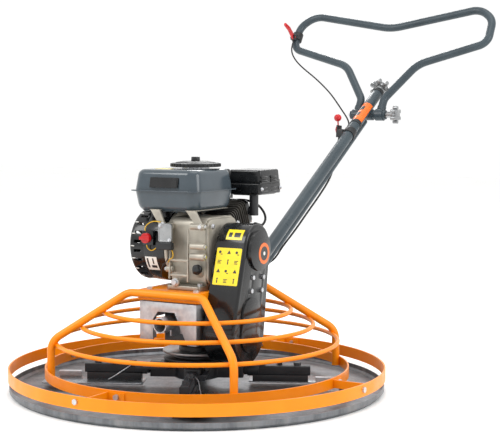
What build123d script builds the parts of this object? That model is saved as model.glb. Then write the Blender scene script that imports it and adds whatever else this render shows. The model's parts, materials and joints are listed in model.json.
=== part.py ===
from build123d import *
from math import atan2, cos, degrees, pi, radians, sin, sqrt, tan
import os

# Walk-behind power trowel, 980 mm guard ring, millimetres.
# Origin: centre of the float pan's underside, on the rotor axis, on the floor.
# +Z up, +Y towards the operator's handle, +X the belt side, -X the recoil starter side.

# ---- driving dimensions -------------------------------------------------------------
RING_R = 490.0            # outer face of the outer guard ring
RING_T = 4.0              # thickness of both ring bands
OUTER_Z = (34.0, 64.0)    # outer band, bottom and top
INNER_R = 396.0           # outer face of the inner guard ring
INNER_Z = (39.0, 65.0)
GUARD_TUBE_R = 10.0
HOOP_R = 5.5
LEG_FOOT_R = 382.0        # radius at which a guard leg stands on the inner ring
LEG_BEND_Z = 138.0
LEG_TOP = (112.0, 152.0, 261.0)   # upper bend of a leg: |x|, |y|, z
HOOP_HEIGHTS = (128.0, 170.0, 207.0)

PAN_R = 487.0
PAN_T = 3.0
PAN_LIP = 20.0

ARM_ANGLES = (26.0, 116.0, 206.0, 296.0)
ARM_Z = 50.0              # height of the arm axes
ARM_TIP = 296.0
HUB_R = 58.0
HUB_Z = (30.0, 70.0)
SOCKET_TIP = 122.0
ARM_PIN_R = 11.0
RUNNING_GAP = 0.05        # radial clearance of a shaft in its bore
BLADE = (135.0, 400.0, -12.0, 72.0)   # blade plate: radial from, to, leading, trailing edge
BLADE_Z = 18.0
BLADE_T = 3.0

SHAFT_R = 14.0            # vertical output shaft
COLLAR_Z = 78.0           # underside of the pressure collar
CASE = (-58.0, 58.0, -75.0, 62.0, 125.0, 218.0)
WORM_Y = -45.0
WORM_Z = 165.0
WHEEL_R = 33.0

DECK_TOP = 268.0
DECK_T = 4.0
DECK_X = 95.0
DECK_Y = 142.0
DECK_LIP = 25.0
BRACKET = (85.0, 140.0, 136.0, 240.0)   # half width, half length, bottom, top
LIFT_X = -8.0
LIFT_Z = 185.0
LIFT_R = 20.0
LIFT_BORE = 17.0
LIFT_Y = (-165.0, -75.5)

CRANK_Z = DECK_TOP + 106.0
CRANK_R = 10.0
CASE_X = (-30.0, 72.0)     # crankcase along the crankshaft
COVER_X = (96.0, 183.0)    # belt cover, engine side and outer face
COVER_R = (64.0, 80.0)     # belt cover round the clutch and round the driven pulley
PULLEY_X = (120.0, 146.0)
CLUTCH_R = 42.0
DRIVEN_R = 62.0
FAN_R = 96.0
FAN_X = (-104.0, -42.0)
RECOIL_X = (-152.0, -104.5)
CYL_ANGLE = 25.0
CYL_X = 22.0

TANK = (-146.0, 66.0, -107.0, 107.0)    # seam flange outline
TANK_Z = (472.0, 522.0, 577.0)          # bottom, seam, top
CAP_POS = (-18.0, 22.0)
CAP_R = 62.0

MAST_FOOT = (0.0, 70.0, 142.0)
MAST_TOP = (0.0, 1145.0, 793.0)
MAST_R = 17.5
MAST_WALL = 2.5
BRACE_R = 10.0
CROSS_Y = 1065.0
CROSS_Z = 716.0
CROSS_R = 15.0
CROSS_HALF = 62.0
LOOP_TILT = 58.0          # plane of the handle loop above horizontal
LOOP_R = 13.0
LOOP_WALL = 2.0
# half outline of the handle loop: (sideways, up the loop's plane), bend radius
LOOP_HALF = (((41.0, 20.0), 0), ((41.0, 62.0), 45), ((129.0, 196.0), 90), ((354.0, 274.0), 42),
             ((354.0, 366.0), 58), ((304.0, 411.0), 66), ((0.0, 345.0), 160))

KILL_CABLE_R = 2.5
THROTTLE_CABLE_R = 3.0
M8 = 4.0


# ---- small helpers ------------------------------------------------------------------
def block(x0, x1, y0, y1, z0, z1):
    centre = Pos((x0 + x1) / 2, (y0 + y1) / 2, (z0 + z1) / 2)
    return centre * Box(x1 - x0, y1 - y0, z1 - z0)


def rod(start, end, radius, bore=0.0):
    axis = Vector(*end) - Vector(*start)
    section = Circle(radius) - Circle(bore) if bore else Circle(radius)
    return extrude(Plane(origin=start, z_dir=axis) * section, axis.length)


def disc(z0, z1, radius, bore=0.0, at=(0.0, 0.0)):
    return rod((at[0], at[1], z0), (at[0], at[1], z1), radius, bore)


def x_rod(x0, x1, radius, y, z, bore=0.0):
    return rod((x0, y, z), (x1, y, z), radius, bore)


def pipe(points, bends, radius, wall=0.0):
    path = FilletPolyline(*points, radius=bends)
    ring = Circle(radius) - Circle(radius - wall) if wall else Circle(radius)
    return sweep(Plane(origin=path @ 0, z_dir=path % 0) * ring, path=path)


def side_plane(x):
    # drawing plane of the belt drive: local x is +Y, local y is +Z, normal is +X
    return Plane(origin=(x, 0, 0), x_dir=(0, 1, 0), z_dir=(1, 0, 0))


def hull_slab(x0, x1, r_top, r_low, low_y=WORM_Y, low_z=WORM_Z, top_z=CRANK_Z):
    circles = Pos(0, top_z) * Circle(r_top) + Pos(low_y, low_z) * Circle(r_low)
    return extrude(side_plane(x0) * make_hull(circles.edges()), x1 - x0)


def turned(angle, shape):
    return Rot(0, 0, angle) * shape


def hex_bolt(head_at, shank_to, across=13.0, head=6.0, radius=M8):
    # head_at: underside of the head; the shank runs to shank_to
    axis = Vector(*shank_to) - Vector(*head_at)
    base = Plane(origin=head_at, z_dir=axis * -1)
    top = extrude(base * RegularPolygon(across / sqrt(3), 6), head)
    return top + rod(head_at, shank_to, radius)


def save(name, shape):
    shape.label = name
    export_step(shape, f"parts/{name}.step")


def group(shapes):
    return Compound(children=[s for shape in shapes for s in shape.solids()])


# ---- guard --------------------------------------------------------------------------
def band(outer, z0, z1):
    return disc(z0, z1, outer, outer - RING_T)


def leg_radius(z):
    # radius of a leg's centre line at a height above its lower bend
    top_r = sqrt(LEG_TOP[0] ** 2 + LEG_TOP[1] ** 2)
    share = max(0.0, (z - LEG_BEND_Z) / (LEG_TOP[2] - LEG_BEND_Z))
    return LEG_FOOT_R + (top_r - LEG_FOOT_R) * share


def guard_tube(side):
    foot = LEG_FOOT_R * cos(radians(45))
    half = [(foot, side * foot, INNER_Z[0] + 3), (foot, side * foot, LEG_BEND_Z),
            (LEG_TOP[0], side * LEG_TOP[1], LEG_TOP[2])]
    points = half + [(-x, y, z) for x, y, z in reversed(half)]
    return pipe(points, [45, 38, 38, 45], GUARD_TUBE_R, 2.0)


def hoop(height):
    if height < LEG_BEND_Z:
        centre = leg_radius(height) - GUARD_TUBE_R - HOOP_R + 0.2
    else:
        slope = atan2(LEG_TOP[2] - LEG_BEND_Z, leg_radius(LEG_BEND_Z) - leg_radius(LEG_TOP[2]))
        below = (GUARD_TUBE_R + HOOP_R - 0.2) / cos(slope)
        centre = leg_radius(height + below)
    return Pos(0, 0, height) * Torus(centre, HOOP_R)


def ring_spacer(angle):
    z0, z1 = 41.0, 61.0
    inner = INNER_R
    outer = RING_R - RING_T
    web = block(inner + 2, outer - 2, -2, 2, z0, z1)
    near = disc(z0, z1, inner + RING_T, inner) & block(inner - 9, inner + 9, 2, 46, z0, z1)
    far = disc(z0, z1, outer, outer - RING_T) & block(outer - 9, outer + 2, -46, -2, z0, z1)
    near += block(inner + 0.5, inner + RING_T, -2, 4, z0, z1)
    far += block(outer - RING_T, outer - 0.6, -4, 2, z0, z1)
    spacer = web + near + far
    for hole in ring_bolt_holes():
        spacer -= hole
    return turned(angle, spacer)


def ring_bolt_line(y_side):
    # a bolt at the middle of each tab of a spacer, along the radius there
    z = 51.0
    if y_side > 0:
        start, end, y = INNER_R - RING_T - 9, INNER_R + RING_T + 4, 26.0
    else:
        start, end, y = RING_R - 2 * RING_T - 7, RING_R + 0.5, -26.0
    tilt = degrees(atan2(y, INNER_R if y_side > 0 else RING_R))
    return start, end, z, tilt


def ring_bolt_holes():
    holes = []
    for side in (1, -1):
        start, end, z, tilt = ring_bolt_line(side)
        holes.append(turned(tilt, rod((start, 0, z), (end + 9, 0, z), M8 + 0.4)))
    return holes


def ring_bolt(angle, side):
    start, end, z, tilt = ring_bolt_line(side)
    if side > 0:
        bolt = hex_bolt((INNER_R + RING_T, 0, z), (start, 0, z))
    else:
        bolt = hex_bolt((RING_R, 0, z), (start, 0, z), head=4.5)
    return turned(angle + tilt, bolt)


def ring_with_holes(outer, z0, z1, side):
    ring = band(outer, z0, z1)
    for angle in (0, 90, 180, 270):
        ring -= turned(angle, ring_bolt_holes()[0 if side > 0 else 1])
    return ring


# ---- rotor --------------------------------------------------------------------------
def float_pan():
    profile = Polyline((0, 0), (PAN_R - 8, 0), (PAN_R, 8), (PAN_R, PAN_LIP), (PAN_R - PAN_T, PAN_LIP),
                       (PAN_R - PAN_T, 9.2), (PAN_R - 9.2, PAN_T), (0, PAN_T), close=True)
    return revolve(Plane.XZ * make_face(profile), Axis.Z)


def pan_clip(angle):
    # bent bracket on the pan that catches the leading edge of a blade
    foot = block(310, 370, -52, -20, PAN_T, PAN_T + 4)
    wall = block(310, 370, -24, -20, PAN_T, 36)
    hook = block(310, 370, -24, -10, 32, 36)
    return turned(angle, foot + wall + hook)


def spider_hub():
    hub = disc(HUB_Z[0], HUB_Z[1], HUB_R)
    for angle in ARM_ANGLES:
        hub += turned(angle, block(20, SOCKET_TIP, -21, 21, HUB_Z[0] + 1, HUB_Z[1]))
    hub = chamfer(hub.edges().filter_by(Axis.Z), 3)
    for angle in ARM_ANGLES:
        hub -= turned(angle, rod((62, 0, ARM_Z), (SOCKET_TIP + 1, 0, ARM_Z), ARM_PIN_R + RUNNING_GAP))
        hub -= turned(angle, rod((92, 0, HUB_Z[1] - 6), (92, 0, HUB_Z[1] + 1), M8))
    return hub - disc(HUB_Z[0] - 1, HUB_Z[1] + 1, SHAFT_R)


def trowel_arm(angle):
    pin = rod((64, 0, ARM_Z), (SOCKET_TIP + 10, 0, ARM_Z), ARM_PIN_R)
    bar = block(SOCKET_TIP + 2, ARM_TIP, -12, 12, ARM_Z - 12, ARM_Z + 12)
    bar = chamfer(bar.edges().filter_by(Axis.X), 2)
    foot = block(146, ARM_TIP - 6, -12, 14, BLADE_Z + BLADE_T, ARM_Z - 12)
    lever = block(SOCKET_TIP + 2, SOCKET_TIP + 16, 8, 34, ARM_Z - 6, ARM_Z + 8)
    finger = block(70, SOCKET_TIP + 16, 26, 38, ARM_Z + 2, ARM_Z + 10)
    pad = rod((78, 32, ARM_Z + 9), (78, 32, COLLAR_Z - 0.5), 6)
    arm = pin + bar + foot + lever + finger + pad
    for along in (170, 262):
        arm -= rod((along, 0, BLADE_Z), (along, 0, ARM_Z + 13), 5)
        arm += hex_bolt((along, 0, ARM_Z + 12), (along, 0, BLADE_Z + BLADE_T), 17, 8, 5)
    return turned(angle, arm)


def trowel_blade(angle):
    blade = block(BLADE[0], BLADE[1], BLADE[2], BLADE[3], BLADE_Z, BLADE_Z + BLADE_T)
    blade = fillet(blade.edges().filter_by(Axis.Z), 10)
    return turned(angle, blade)


def output_shaft():
    shaft = disc(HUB_Z[0] - 4, CASE[5] - 14, SHAFT_R)
    return shaft + disc(HUB_Z[0] - 8, HUB_Z[0] - 0.5, 20)


def worm_wheel():
    wheel = disc(WORM_Z - 12, WORM_Z + 12, WHEEL_R, SHAFT_R)
    wheel -= disc(WORM_Z + 7, WORM_Z + 13, WHEEL_R - 5, SHAFT_R + 6)
    return wheel - disc(WORM_Z - 13, WORM_Z - 7, WHEEL_R - 5, SHAFT_R + 6)


def pressure_collar():
    collar = disc(COLLAR_Z, COLLAR_Z + 6, 88)
    collar += disc(COLLAR_Z + 6, COLLAR_Z + 13, 60)
    collar += disc(COLLAR_Z + 13, COLLAR_Z + 20, 67)
    collar += disc(COLLAR_Z + 20, COLLAR_Z + 36, 48)
    return collar - disc(COLLAR_Z - 1, COLLAR_Z + 37, SHAFT_R + RUNNING_GAP)


# ---- frame and gearbox --------------------------------------------------------------
def engine_platform():
    deck = block(-DECK_X, DECK_X, -DECK_Y, DECK_Y, DECK_TOP - DECK_LIP, DECK_TOP)
    deck = fillet(deck.edges().filter_by(Axis.Z), 12)
    inner = block(-DECK_X + DECK_T, DECK_X - DECK_T, -DECK_Y + DECK_T, DECK_Y - DECK_T,
                  DECK_TOP - DECK_LIP - 1, DECK_TOP - DECK_T)
    deck -= fillet(inner.edges().filter_by(Axis.Z), 8)
    for x, y in engine_holes():
        deck -= disc(DECK_TOP - DECK_T - 1, DECK_TOP + 1, M8 + 0.5, at=(x, y))
    for x, y in bracket_holes():
        deck -= disc(DECK_TOP - DECK_T - 1, DECK_TOP + 1, M8 + 0.5, at=(x, y))
    return deck


def engine_holes():
    return [(x, y) for x in (-18, 60) for y in (-81, 81)]


def bracket_holes():
    return [(x, y) for x in (-70, 70) for y in (-118, 118)]


def base_bracket():
    half_x, half_y, z0, z1 = BRACKET
    box = block(-half_x, half_x, -half_y, half_y, z0, z1)
    box -= block(-half_x + 4, half_x - 4, -half_y + 4, half_y - 4, z0 - 1, z1 - 4)
    opening = Polyline((-45, z0 - 1), (-45, 196), (-30, 216), (20, 216), (58, z0 - 1), close=True)
    front = Plane(origin=(0, -half_y - 1, 0), x_dir=(1, 0, 0), z_dir=(0, -1, 0))
    box -= extrude(front * make_face(opening), -6)
    box -= block(-30, 30, half_y - 5, half_y + 1, z0 - 1, 222)
    box -= block(-60, 60, -90, 100, z1 - 5, z1 + 1)
    box -= x_rod(half_x - 5, half_x + 1, 28, WORM_Y, WORM_Z)
    box -= block(-half_x - 1, -half_x + 5, -70, 70, z0 - 1, z0 + 55)
    for x, y in bracket_holes():
        box -= disc(z1 - 5, z1 + 1, M8 + 0.5, at=(x, y))
    lift = rod((LIFT_X, LIFT_Y[0], LIFT_Z), (LIFT_X, LIFT_Y[1], LIFT_Z), LIFT_R, LIFT_BORE)
    web = block(LIFT_X + 12, LIFT_X + 16, -half_y + 4, LIFT_Y[1], z0 + 20, LIFT_Z - 12)
    tie = block(LIFT_X + 12, half_x - 4, -96, -92, z0 + 20, z0 + 60)
    return box + lift + web + tie


def gearbox_case():
    x0, x1, y0, y1, z0, z1 = CASE
    case = fillet(block(x0, x1, y0, y1, z0, z1).edges().filter_by(Axis.Z), 14)
    case += block(-78, 78, -62, 62, z1 - 4, BRACKET[3] - 4) - block(-50, 50, -50, 50, z1 - 5, z1 + 20)
    case += disc(z0 - 7, z0 + 1, 30)
    case += x_rod(x1 - 2, x1 + 14, 26, WORM_Y + 0, WORM_Z)
    inner = block(x0 + 7, x1 - 7, y0 + 7, y1 - 7, z0 + 7, z1 - 7)
    case -= fillet(inner.edges().filter_by(Axis.Z), 8)
    case -= disc(z0 - 8, z0 + 8, SHAFT_R + RUNNING_GAP)
    return case - x_rod(x1 - 9, x1 + 15, CRANK_R + RUNNING_GAP, WORM_Y, WORM_Z)


def worm_shaft():
    shaft = x_rod(-46, PULLEY_X[1] + 6, CRANK_R, WORM_Y, WORM_Z)
    for turn in range(7):
        x = -24 + turn * 8
        shaft += x_rod(x - 2, x + 2, CRANK_R + 1.4, WORM_Y, WORM_Z)
    return shaft


def grooved_pulley(radius, y, z, bore):
    x0, x1 = PULLEY_X
    middle = (x0 + x1) / 2
    pulley = x_rod(x0, x1, radius, y, z)
    groove = Polyline((middle - 8, radius + 1), (middle - 5, radius - 11), (middle + 5, radius - 11),
                      (middle + 8, radius + 1), close=True)
    ring = revolve(make_face(groove), Axis.X)
    pulley -= Pos(0, y, z) * ring
    return pulley - x_rod(x0 - 1, x1 + 1, bore, y, z)


def driven_pulley():
    pulley = grooved_pulley(DRIVEN_R, WORM_Y, WORM_Z, CRANK_R)
    for step in range(5):
        angle = radians(72 * step)
        y, z = WORM_Y + 33 * cos(angle), WORM_Z + 33 * sin(angle)
        pulley -= x_rod(PULLEY_X[0] - 1, PULLEY_X[1] + 1, 9, y, z)
    return pulley


def clutch_pulley():
    drum = grooved_pulley(CLUTCH_R, 0, CRANK_Z, CRANK_R)
    return drum + x_rod(PULLEY_X[0] - 16, PULLEY_X[0], CLUTCH_R + 6, 0, CRANK_Z, CRANK_R)


def v_belt():
    middle = (PULLEY_X[0] + PULLEY_X[1]) / 2
    outer = hull_slab(middle - 4.5, middle + 4.5, CLUTCH_R - 2, DRIVEN_R - 2)
    return outer - hull_slab(middle - 5, middle + 5, CLUTCH_R - 10.6, DRIVEN_R - 10.6)


def belt_cover():
    x0, x1 = COVER_X
    cover = hull_slab(x0, x1, COVER_R[0], COVER_R[1])
    cover = fillet(cover.edges().filter_by_position(Axis.X, x1 - 0.1, x1 + 0.1), 7)
    cover += x_rod(x1 - 2, x1 + 9, 51, -2, CRANK_Z - 4)
    low = Pos(WORM_Y, WORM_Z - 4) * Circle(46) + Pos(WORM_Y + 6, WORM_Z + 46) * Circle(44)
    cover += extrude(side_plane(x1 - 2) * make_hull(low.edges()), 7)
    cover -= hull_slab(x0 + 3, x1 - 3, COVER_R[0] - 3, COVER_R[1] - 3)
    cover -= x_rod(x0 - 1, x0 + 4, 30, 0, CRANK_Z)
    return cover - x_rod(x0 - 1, x0 + 4, 18, WORM_Y, WORM_Z)


def cover_bolt_spots():
    return [(-30, CRANK_Z - 70), (22, CRANK_Z - 73), (-38, CRANK_Z - 103), (14, CRANK_Z - 106)]


# ---- engine -------------------------------------------------------------------------
def crankcase():
    x0, x1 = CASE_X
    body = block(x0, x1, -74, 66, DECK_TOP + 8, CRANK_Z + 78)
    body = fillet(body.edges().filter_by(Axis.X), 22)
    body += cylinder_block(40, 77.7, 46, 44, 8) & block(x0 + 1, x1 - 1, 40, 120, DECK_TOP + 20, CRANK_Z + 78)
    body -= block(x0 + 6, x1 + 1, -66, 58, DECK_TOP + 16, CRANK_Z + 70)
    feet = block(x0 + 2, x1 - 2, -98, 98, DECK_TOP, DECK_TOP + 12)
    body += feet
    for x, y in engine_holes():
        body -= disc(DECK_TOP - 1, DECK_TOP + 13, M8 + 0.5, at=(x, y))
    body -= x_rod(x0 - 1, x0 + 7, CRANK_R + RUNNING_GAP, 0, CRANK_Z)
    body -= cylinder_block(77.9, 150, 47, 47)
    body -= rod(cylinder_point(40), cylinder_point(80), 34)
    filler = oil_filler_frame()
    body += rod(filler @ -8, filler @ 12, 12)
    return body - rod(filler @ -30, filler @ 13, 9)


def cylinder_point(distance, x=CYL_X):
    a = radians(CYL_ANGLE)
    return (x, distance * cos(a), CRANK_Z + distance * sin(a))


def cylinder_block(d0, d1, half_x, half_side, cut=0.0):
    plane = Plane(origin=cylinder_point(d0), x_dir=(1, 0, 0), z_dir=(0, cos(radians(CYL_ANGLE)),
                                                                    sin(radians(CYL_ANGLE))))
    face = RectangleRounded(2 * half_x, 2 * half_side, cut) if cut else Rectangle(2 * half_x, 2 * half_side)
    return extrude(plane * face, d1 - d0)


def cylinder():
    barrel = rod(cylinder_point(78), cylinder_point(132), 40)
    for fin in range(6):
        start = 81 + fin * 8.8
        barrel += cylinder_block(start, start + 3, 46, 46, 12)
    return barrel - rod(cylinder_point(60), cylinder_point(133), 34)


def cylinder_head():
    head = cylinder_block(132.3, 168, 41, 41, 10)
    for fin in range(4):
        start = 134 + fin * 8.5
        head += cylinder_block(start, start + 3, 48, 48, 12)
    return head - rod(cylinder_point(132), cylinder_point(140), 34)


def rocker_cover():
    cover = fillet(cylinder_block(168.3, 196, 38, 36, 14).edges().group_by(Axis.Y)[-1], 4)
    return cover - cylinder_block(168, 190, 34, 32, 10)


def spark_plug():
    base = Vector(*cylinder_point(158, CYL_X + 48.3)) + Vector(0, 10, -22)
    elbow = base + Vector(16, 0, 0)
    plug = rod(tuple(base), tuple(elbow + Vector(2, 0, 0)), 6)
    return plug + rod(tuple(elbow), tuple(elbow + Vector(4, 24, -6)), 9)


def crankcase_cover():
    x1 = CASE_X[1]
    cover = block(x1 + 0.3, x1 + 8, -74, 66, DECK_TOP + 14, CRANK_Z + 74)
    cover = fillet(cover.edges().filter_by(Axis.X), 22)
    cover += x_rod(x1 + 7, x1 + 16, 30, 0, CRANK_Z)
    return cover - x_rod(x1 - 1, x1 + 17, CRANK_R + RUNNING_GAP, 0, CRANK_Z)


def crankshaft():
    shaft = x_rod(FAN_X[0] + 20, CASE_X[0] + 34, CRANK_R, 0, CRANK_Z)
    shaft += x_rod(CASE_X[0] + 66, PULLEY_X[1] + 6, CRANK_R, 0, CRANK_Z)
    for x in (CASE_X[0] + 30, CASE_X[0] + 60):
        shaft += x_rod(x, x + 10, 32, 0, CRANK_Z - 6)
    return shaft + x_rod(CASE_X[0] + 38, CASE_X[0] + 62, 12, 0, CRANK_Z + 14)


def flywheel():
    wheel = x_rod(-72, -58, 78, 0, CRANK_Z, CRANK_R)
    wheel += x_rod(-80, -72, 26, 0, CRANK_Z, CRANK_R)
    for blade in range(12):
        fin = block(-94, -71, 34, 76, -2, 2)
        wheel += Pos(0, 0, CRANK_Z) * Rot(blade * 30 + 8, 0, 0) * fin
    return wheel


def fan_housing():
    x0, x1 = FAN_X
    shell = x_rod(x0, x1, FAN_R, 0, CRANK_Z)
    shell += block(x0, x1, -60, FAN_R, CRANK_Z, CRANK_Z + 92)
    shell -= x_rod(x0 - 1, x1 - 3, FAN_R - 4, 0, CRANK_Z)
    shell -= block(x0 - 1, x1 - 3, -56, FAN_R - 4, CRANK_Z, CRANK_Z + 88)
    shell -= block(x0 - 1, x1 + 1, FAN_R - 5, FAN_R + 1, CRANK_Z + 10, CRANK_Z + 80)
    shell = shell - x_rod(x1 - 4, x1 + 1, 40, 0, CRANK_Z)
    return shell + x_rod(x1, CASE_X[0] - 0.3, 50, 0, CRANK_Z, 40)


def recoil_cover():
    x0, x1 = RECOIL_X
    shell = x_rod(x0, x1, FAN_R - 2, 0, CRANK_Z)
    shell = fillet(shell.edges().filter_by_position(Axis.X, x0 - 0.1, x0 + 0.1), 10)
    shell -= x_rod(x0 + 4, x1 + 1, FAN_R - 6, 0, CRANK_Z)
    for slot in range(24):
        cut = block(x0 + 16, x1 - 10, FAN_R - 10, FAN_R + 2, -4, 4)
        shell -= Pos(0, 0, CRANK_Z) * Rot(slot * 15 + 7.5, 0, 0) * cut
    for hole in range(12):
        vent = block(x0 - 1, x0 + 5, 44, 72, -4.5, 4.5)
        shell -= Pos(0, 0, CRANK_Z) * Rot(hole * 30, 0, 0) * vent
    shell -= rod(grip_point(-30), grip_point(20), 4)
    return shell + x_rod(x0 + 3, x0 + 16, 12, 0, CRANK_Z)


def grip_point(distance):
    # along the starter rope's line, from the mouth on the recoil cover's rim
    a = radians(12)
    return (sum(RECOIL_X) / 2, (FAN_R + distance) * cos(a), CRANK_Z + (FAN_R + distance) * sin(a))


def starter_grip():
    mouth = grip_point(1.5)
    bar = rod((mouth[0] - 19, *grip_point(13)[1:]), (mouth[0] + 19, *grip_point(13)[1:]), 9)
    return bar + rod(grip_point(-20), grip_point(14), 3) + rod(grip_point(1.5), grip_point(12), 8)


def carburettor():
    body = block(-86, -48, 118, 178, 416, 452)
    body += rod((-66, 140, 396), (-66, 140, 418), 17)
    body += x_rod(-50, CYL_X - 48.3, 13, 140, 434)
    elbow = x_rod(-108, -84, 16, 140, 436) + rod((-106, 140, 424), (-106, 140, 486), 15)
    return body + elbow + x_rod(-98, -85, 2, 170, 436)


def choke_lever():
    plate = block(-93.4, -90, 166, 204, 432, 440) + x_rod(-94, -89, 6, 170, 436)
    return plate + x_rod(-98, -91, 6, 204, 436) - x_rod(-99, -84, 2.05, 170, 436)


def air_cleaner():
    base = fillet(block(-136, -18, 116, 226, 486, 510).edges().filter_by(Axis.Z), 16)
    lid = fillet(block(-134, -20, 118, 224, 510, 566).edges().filter_by(Axis.Z), 16)
    lid = chamfer(lid.edges().group_by(Axis.Z)[-1], 8)
    return base + lid - block(-126, -28, 126, 216, 492, 556)


def muffler():
    can = fillet(block(20, 112, 134, 236, 500, 552).edges().filter_by(Axis.Y), 16)
    can -= fillet(block(23, 109, 137, 233, 503, 549).edges().filter_by(Axis.Y), 13)
    pipe_up = rod((84, 152, 501), (84, 152, 446), 12) + x_rod(70.4, 84, 11, 152, 458)
    return can + pipe_up


def muffler_guard():
    shell = block(14, 118, 128, 242, 504, 563)
    shell = fillet(shell.edges().filter_by(Axis.Z), 8)
    shell -= block(17, 115, 131, 239, 500, 559)
    for y in (146, 192):
        for z in (516, 538):
            shell -= block(112, 120, y, y + 32, z, z + 9)
    return shell


def fuel_tank():
    x0, x1, y0, y1 = TANK
    z0, seam, z1 = TANK_Z
    upper = block(x0 + 8, x1 - 8, y0 + 8, y1 - 8, seam, z1)
    upper = fillet(upper.edges().filter_by(Axis.Z), 28)
    upper = fillet(upper.edges().group_by(Axis.Z)[-1], 16)
    lower = block(x0 + 12, x1 - 12, y0 + 12, y1 - 12, z0, seam)
    lower = fillet(lower.edges().filter_by(Axis.Z), 28)
    lower = fillet(lower.edges().group_by(Axis.Z)[0], 14)
    flange = fillet(block(x0, x1, y0, y1, seam - 2, seam + 2).edges().filter_by(Axis.Z), 22)
    inner = block(x0 + 16, x1 - 16, y0 + 16, y1 - 16, z0 + 3, z1 - 3)
    inner = fillet(inner.edges().filter_by(Axis.Z), 20)
    neck = disc(z1 - 2, z1 + 4, 30, 26, at=CAP_POS)
    inner = fillet(inner.edges().group_by(Axis.Z)[0], 12)
    tank = upper + lower + flange - fillet(inner.edges().group_by(Axis.Z)[-1], 12)
    return tank - disc(z1 - 6, z1 + 1, 26, at=CAP_POS) + neck


def fuel_cap():
    z = TANK_Z[2] + 4.3
    cap = disc(z, z + 11, CAP_R, at=CAP_POS)
    cap = fillet(cap.edges().group_by(Axis.Z)[-1], 4)
    lug = block(CAP_POS[0] - 13, CAP_POS[0] + 13, CAP_POS[1] - 8, CAP_POS[1] + 8, z + 10, z + 27)
    return cap + disc(z - 9, z, 25.5, 20, at=CAP_POS) + fillet(lug.edges().filter_by(Axis.Z), 4)


def tank_brackets():
    parts = []
    for x in (-78.0, 40.0):
        top = block(x - 16, x + 16, -92, 60, TANK_Z[0] - 1.7, TANK_Z[0] - 0.3)
        front = block(x - 12, x + 12, -92, -89, CRANK_Z + 60, TANK_Z[0] - 0.3)
        foot = block(x - 12, x + 12, -92, -78, CRANK_Z + 60, CRANK_Z + 63)
        parts.append(top + front + foot)
    return parts


def engine_switch():
    knob = rod((-84, -FAN_R - 12, CRANK_Z + 24), (-84, -FAN_R - 22, CRANK_Z + 24), 13)
    return knob + block(-99, -69, -FAN_R - 27, -FAN_R - 21, CRANK_Z + 20, CRANK_Z + 28)


def switch_box():
    box = block(-98, -66, -FAN_R - 11.7, -FAN_R + 8, CRANK_Z + 6, CRANK_Z + 42)
    return box - x_rod(-105, -60, FAN_R - 1, 0, CRANK_Z)


class Line3:
    # a straight line of points: origin + distance along a direction
    def __init__(self, origin, direction):
        self.origin = Vector(*origin)
        self.direction = Vector(*direction).normalized()

    def __matmul__(self, distance):
        return tuple(self.origin + self.direction * distance)


def oil_filler_frame():
    return Line3((CASE_X[1] - 16, -74, DECK_TOP + 46), (0, -0.87, 0.5))


def oil_filler_cap():
    line = oil_filler_frame()
    cap = rod(line @ 12.4, line @ 21, 13)
    cap += rod(line @ 21, line @ 30, 8)
    return cap + rod(line @ -8, line @ 13, 8.6)


# ---- mast and handle ----------------------------------------------------------------
MAST = Line3(MAST_FOOT, Vector(*MAST_TOP) - Vector(*MAST_FOOT))
MAST_LENGTH = (Vector(*MAST_TOP) - Vector(*MAST_FOOT)).length
MAST_DOWN = Vector(0, MAST.direction.Z, -MAST.direction.Y)


def beside_mast(distance, drop, side=0.0):
    point = MAST.origin + MAST.direction * distance + MAST_DOWN * drop + Vector(side, 0, 0)
    return tuple(point)


def mast_tube():
    tube = rod(MAST @ 12, MAST @ MAST_LENGTH, MAST_R)
    brace_drop = MAST_R + BRACE_R - 1.0
    brace = rod(beside_mast(290, brace_drop), beside_mast(1110, brace_drop), BRACE_R)
    end_cap = rod(beside_mast(276, brace_drop - 6), beside_mast(292, brace_drop), BRACE_R - 1)
    foot = block(-34, 34, CASE[3] + 0.3, CASE[3] + 12, 128, 206)
    gusset = block(-4, 4, CASE[3] + 10, 128, 170, 196)
    mast = tube + brace + end_cap + foot + gusset
    return mast - rod(MAST @ 20, MAST @ (MAST_LENGTH + 1), MAST_R - MAST_WALL)


def cross_tube():
    tube = x_rod(-CROSS_HALF, CROSS_HALF, CROSS_R, CROSS_Y, CROSS_Z, 8.0)
    saddle = x_rod(-17, 17, CROSS_R + 3, CROSS_Y, CROSS_Z, CROSS_R - 0.5)
    lift = block(-9, 9, CROSS_Y - 16, CROSS_Y + 12, CROSS_Z + 6, CROSS_Z + 24)
    cross = tube + saddle + lift
    cross -= x_rod(-CROSS_HALF - 1, CROSS_HALF + 1, 8.0, CROSS_Y, CROSS_Z)
    cross -= rod(MAST @ 800, MAST @ MAST_LENGTH, MAST_R - 0.2)
    return cross - rod(beside_mast(900, MAST_R + BRACE_R - 1), beside_mast(1111, MAST_R + BRACE_R - 1),
                       BRACE_R - 0.2)


def loop_point(side, up):
    a = radians(LOOP_TILT)
    return (side, CROSS_Y + up * cos(a), CROSS_Z + up * sin(a))


def handle_loop():
    right = [loop_point(s, t) for (s, t), _ in LOOP_HALF]
    left = [loop_point(-s, t) for (s, t), _ in reversed(LOOP_HALF[:-1])]
    bends = [bend for _, bend in LOOP_HALF[1:]] + [bend for _, bend in reversed(LOOP_HALF[1:-1])]
    loop = pipe(right + left, bends, LOOP_R, LOOP_WALL)
    for side in (-1, 1):
        sleeve = x_rod(side * 41 - 13, side * 41 + 13, CROSS_R + 4.5, CROSS_Y, CROSS_Z, CROSS_R + RUNNING_GAP)
        collar = rod(loop_point(side * 41, 15), loop_point(side * 41, 30), LOOP_R + 1.5)
        collar -= x_rod(side * 41 - 14, side * 41 + 14, CROSS_R + 2, CROSS_Y, CROSS_Z)
        loop += sleeve + collar
    return loop


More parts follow.
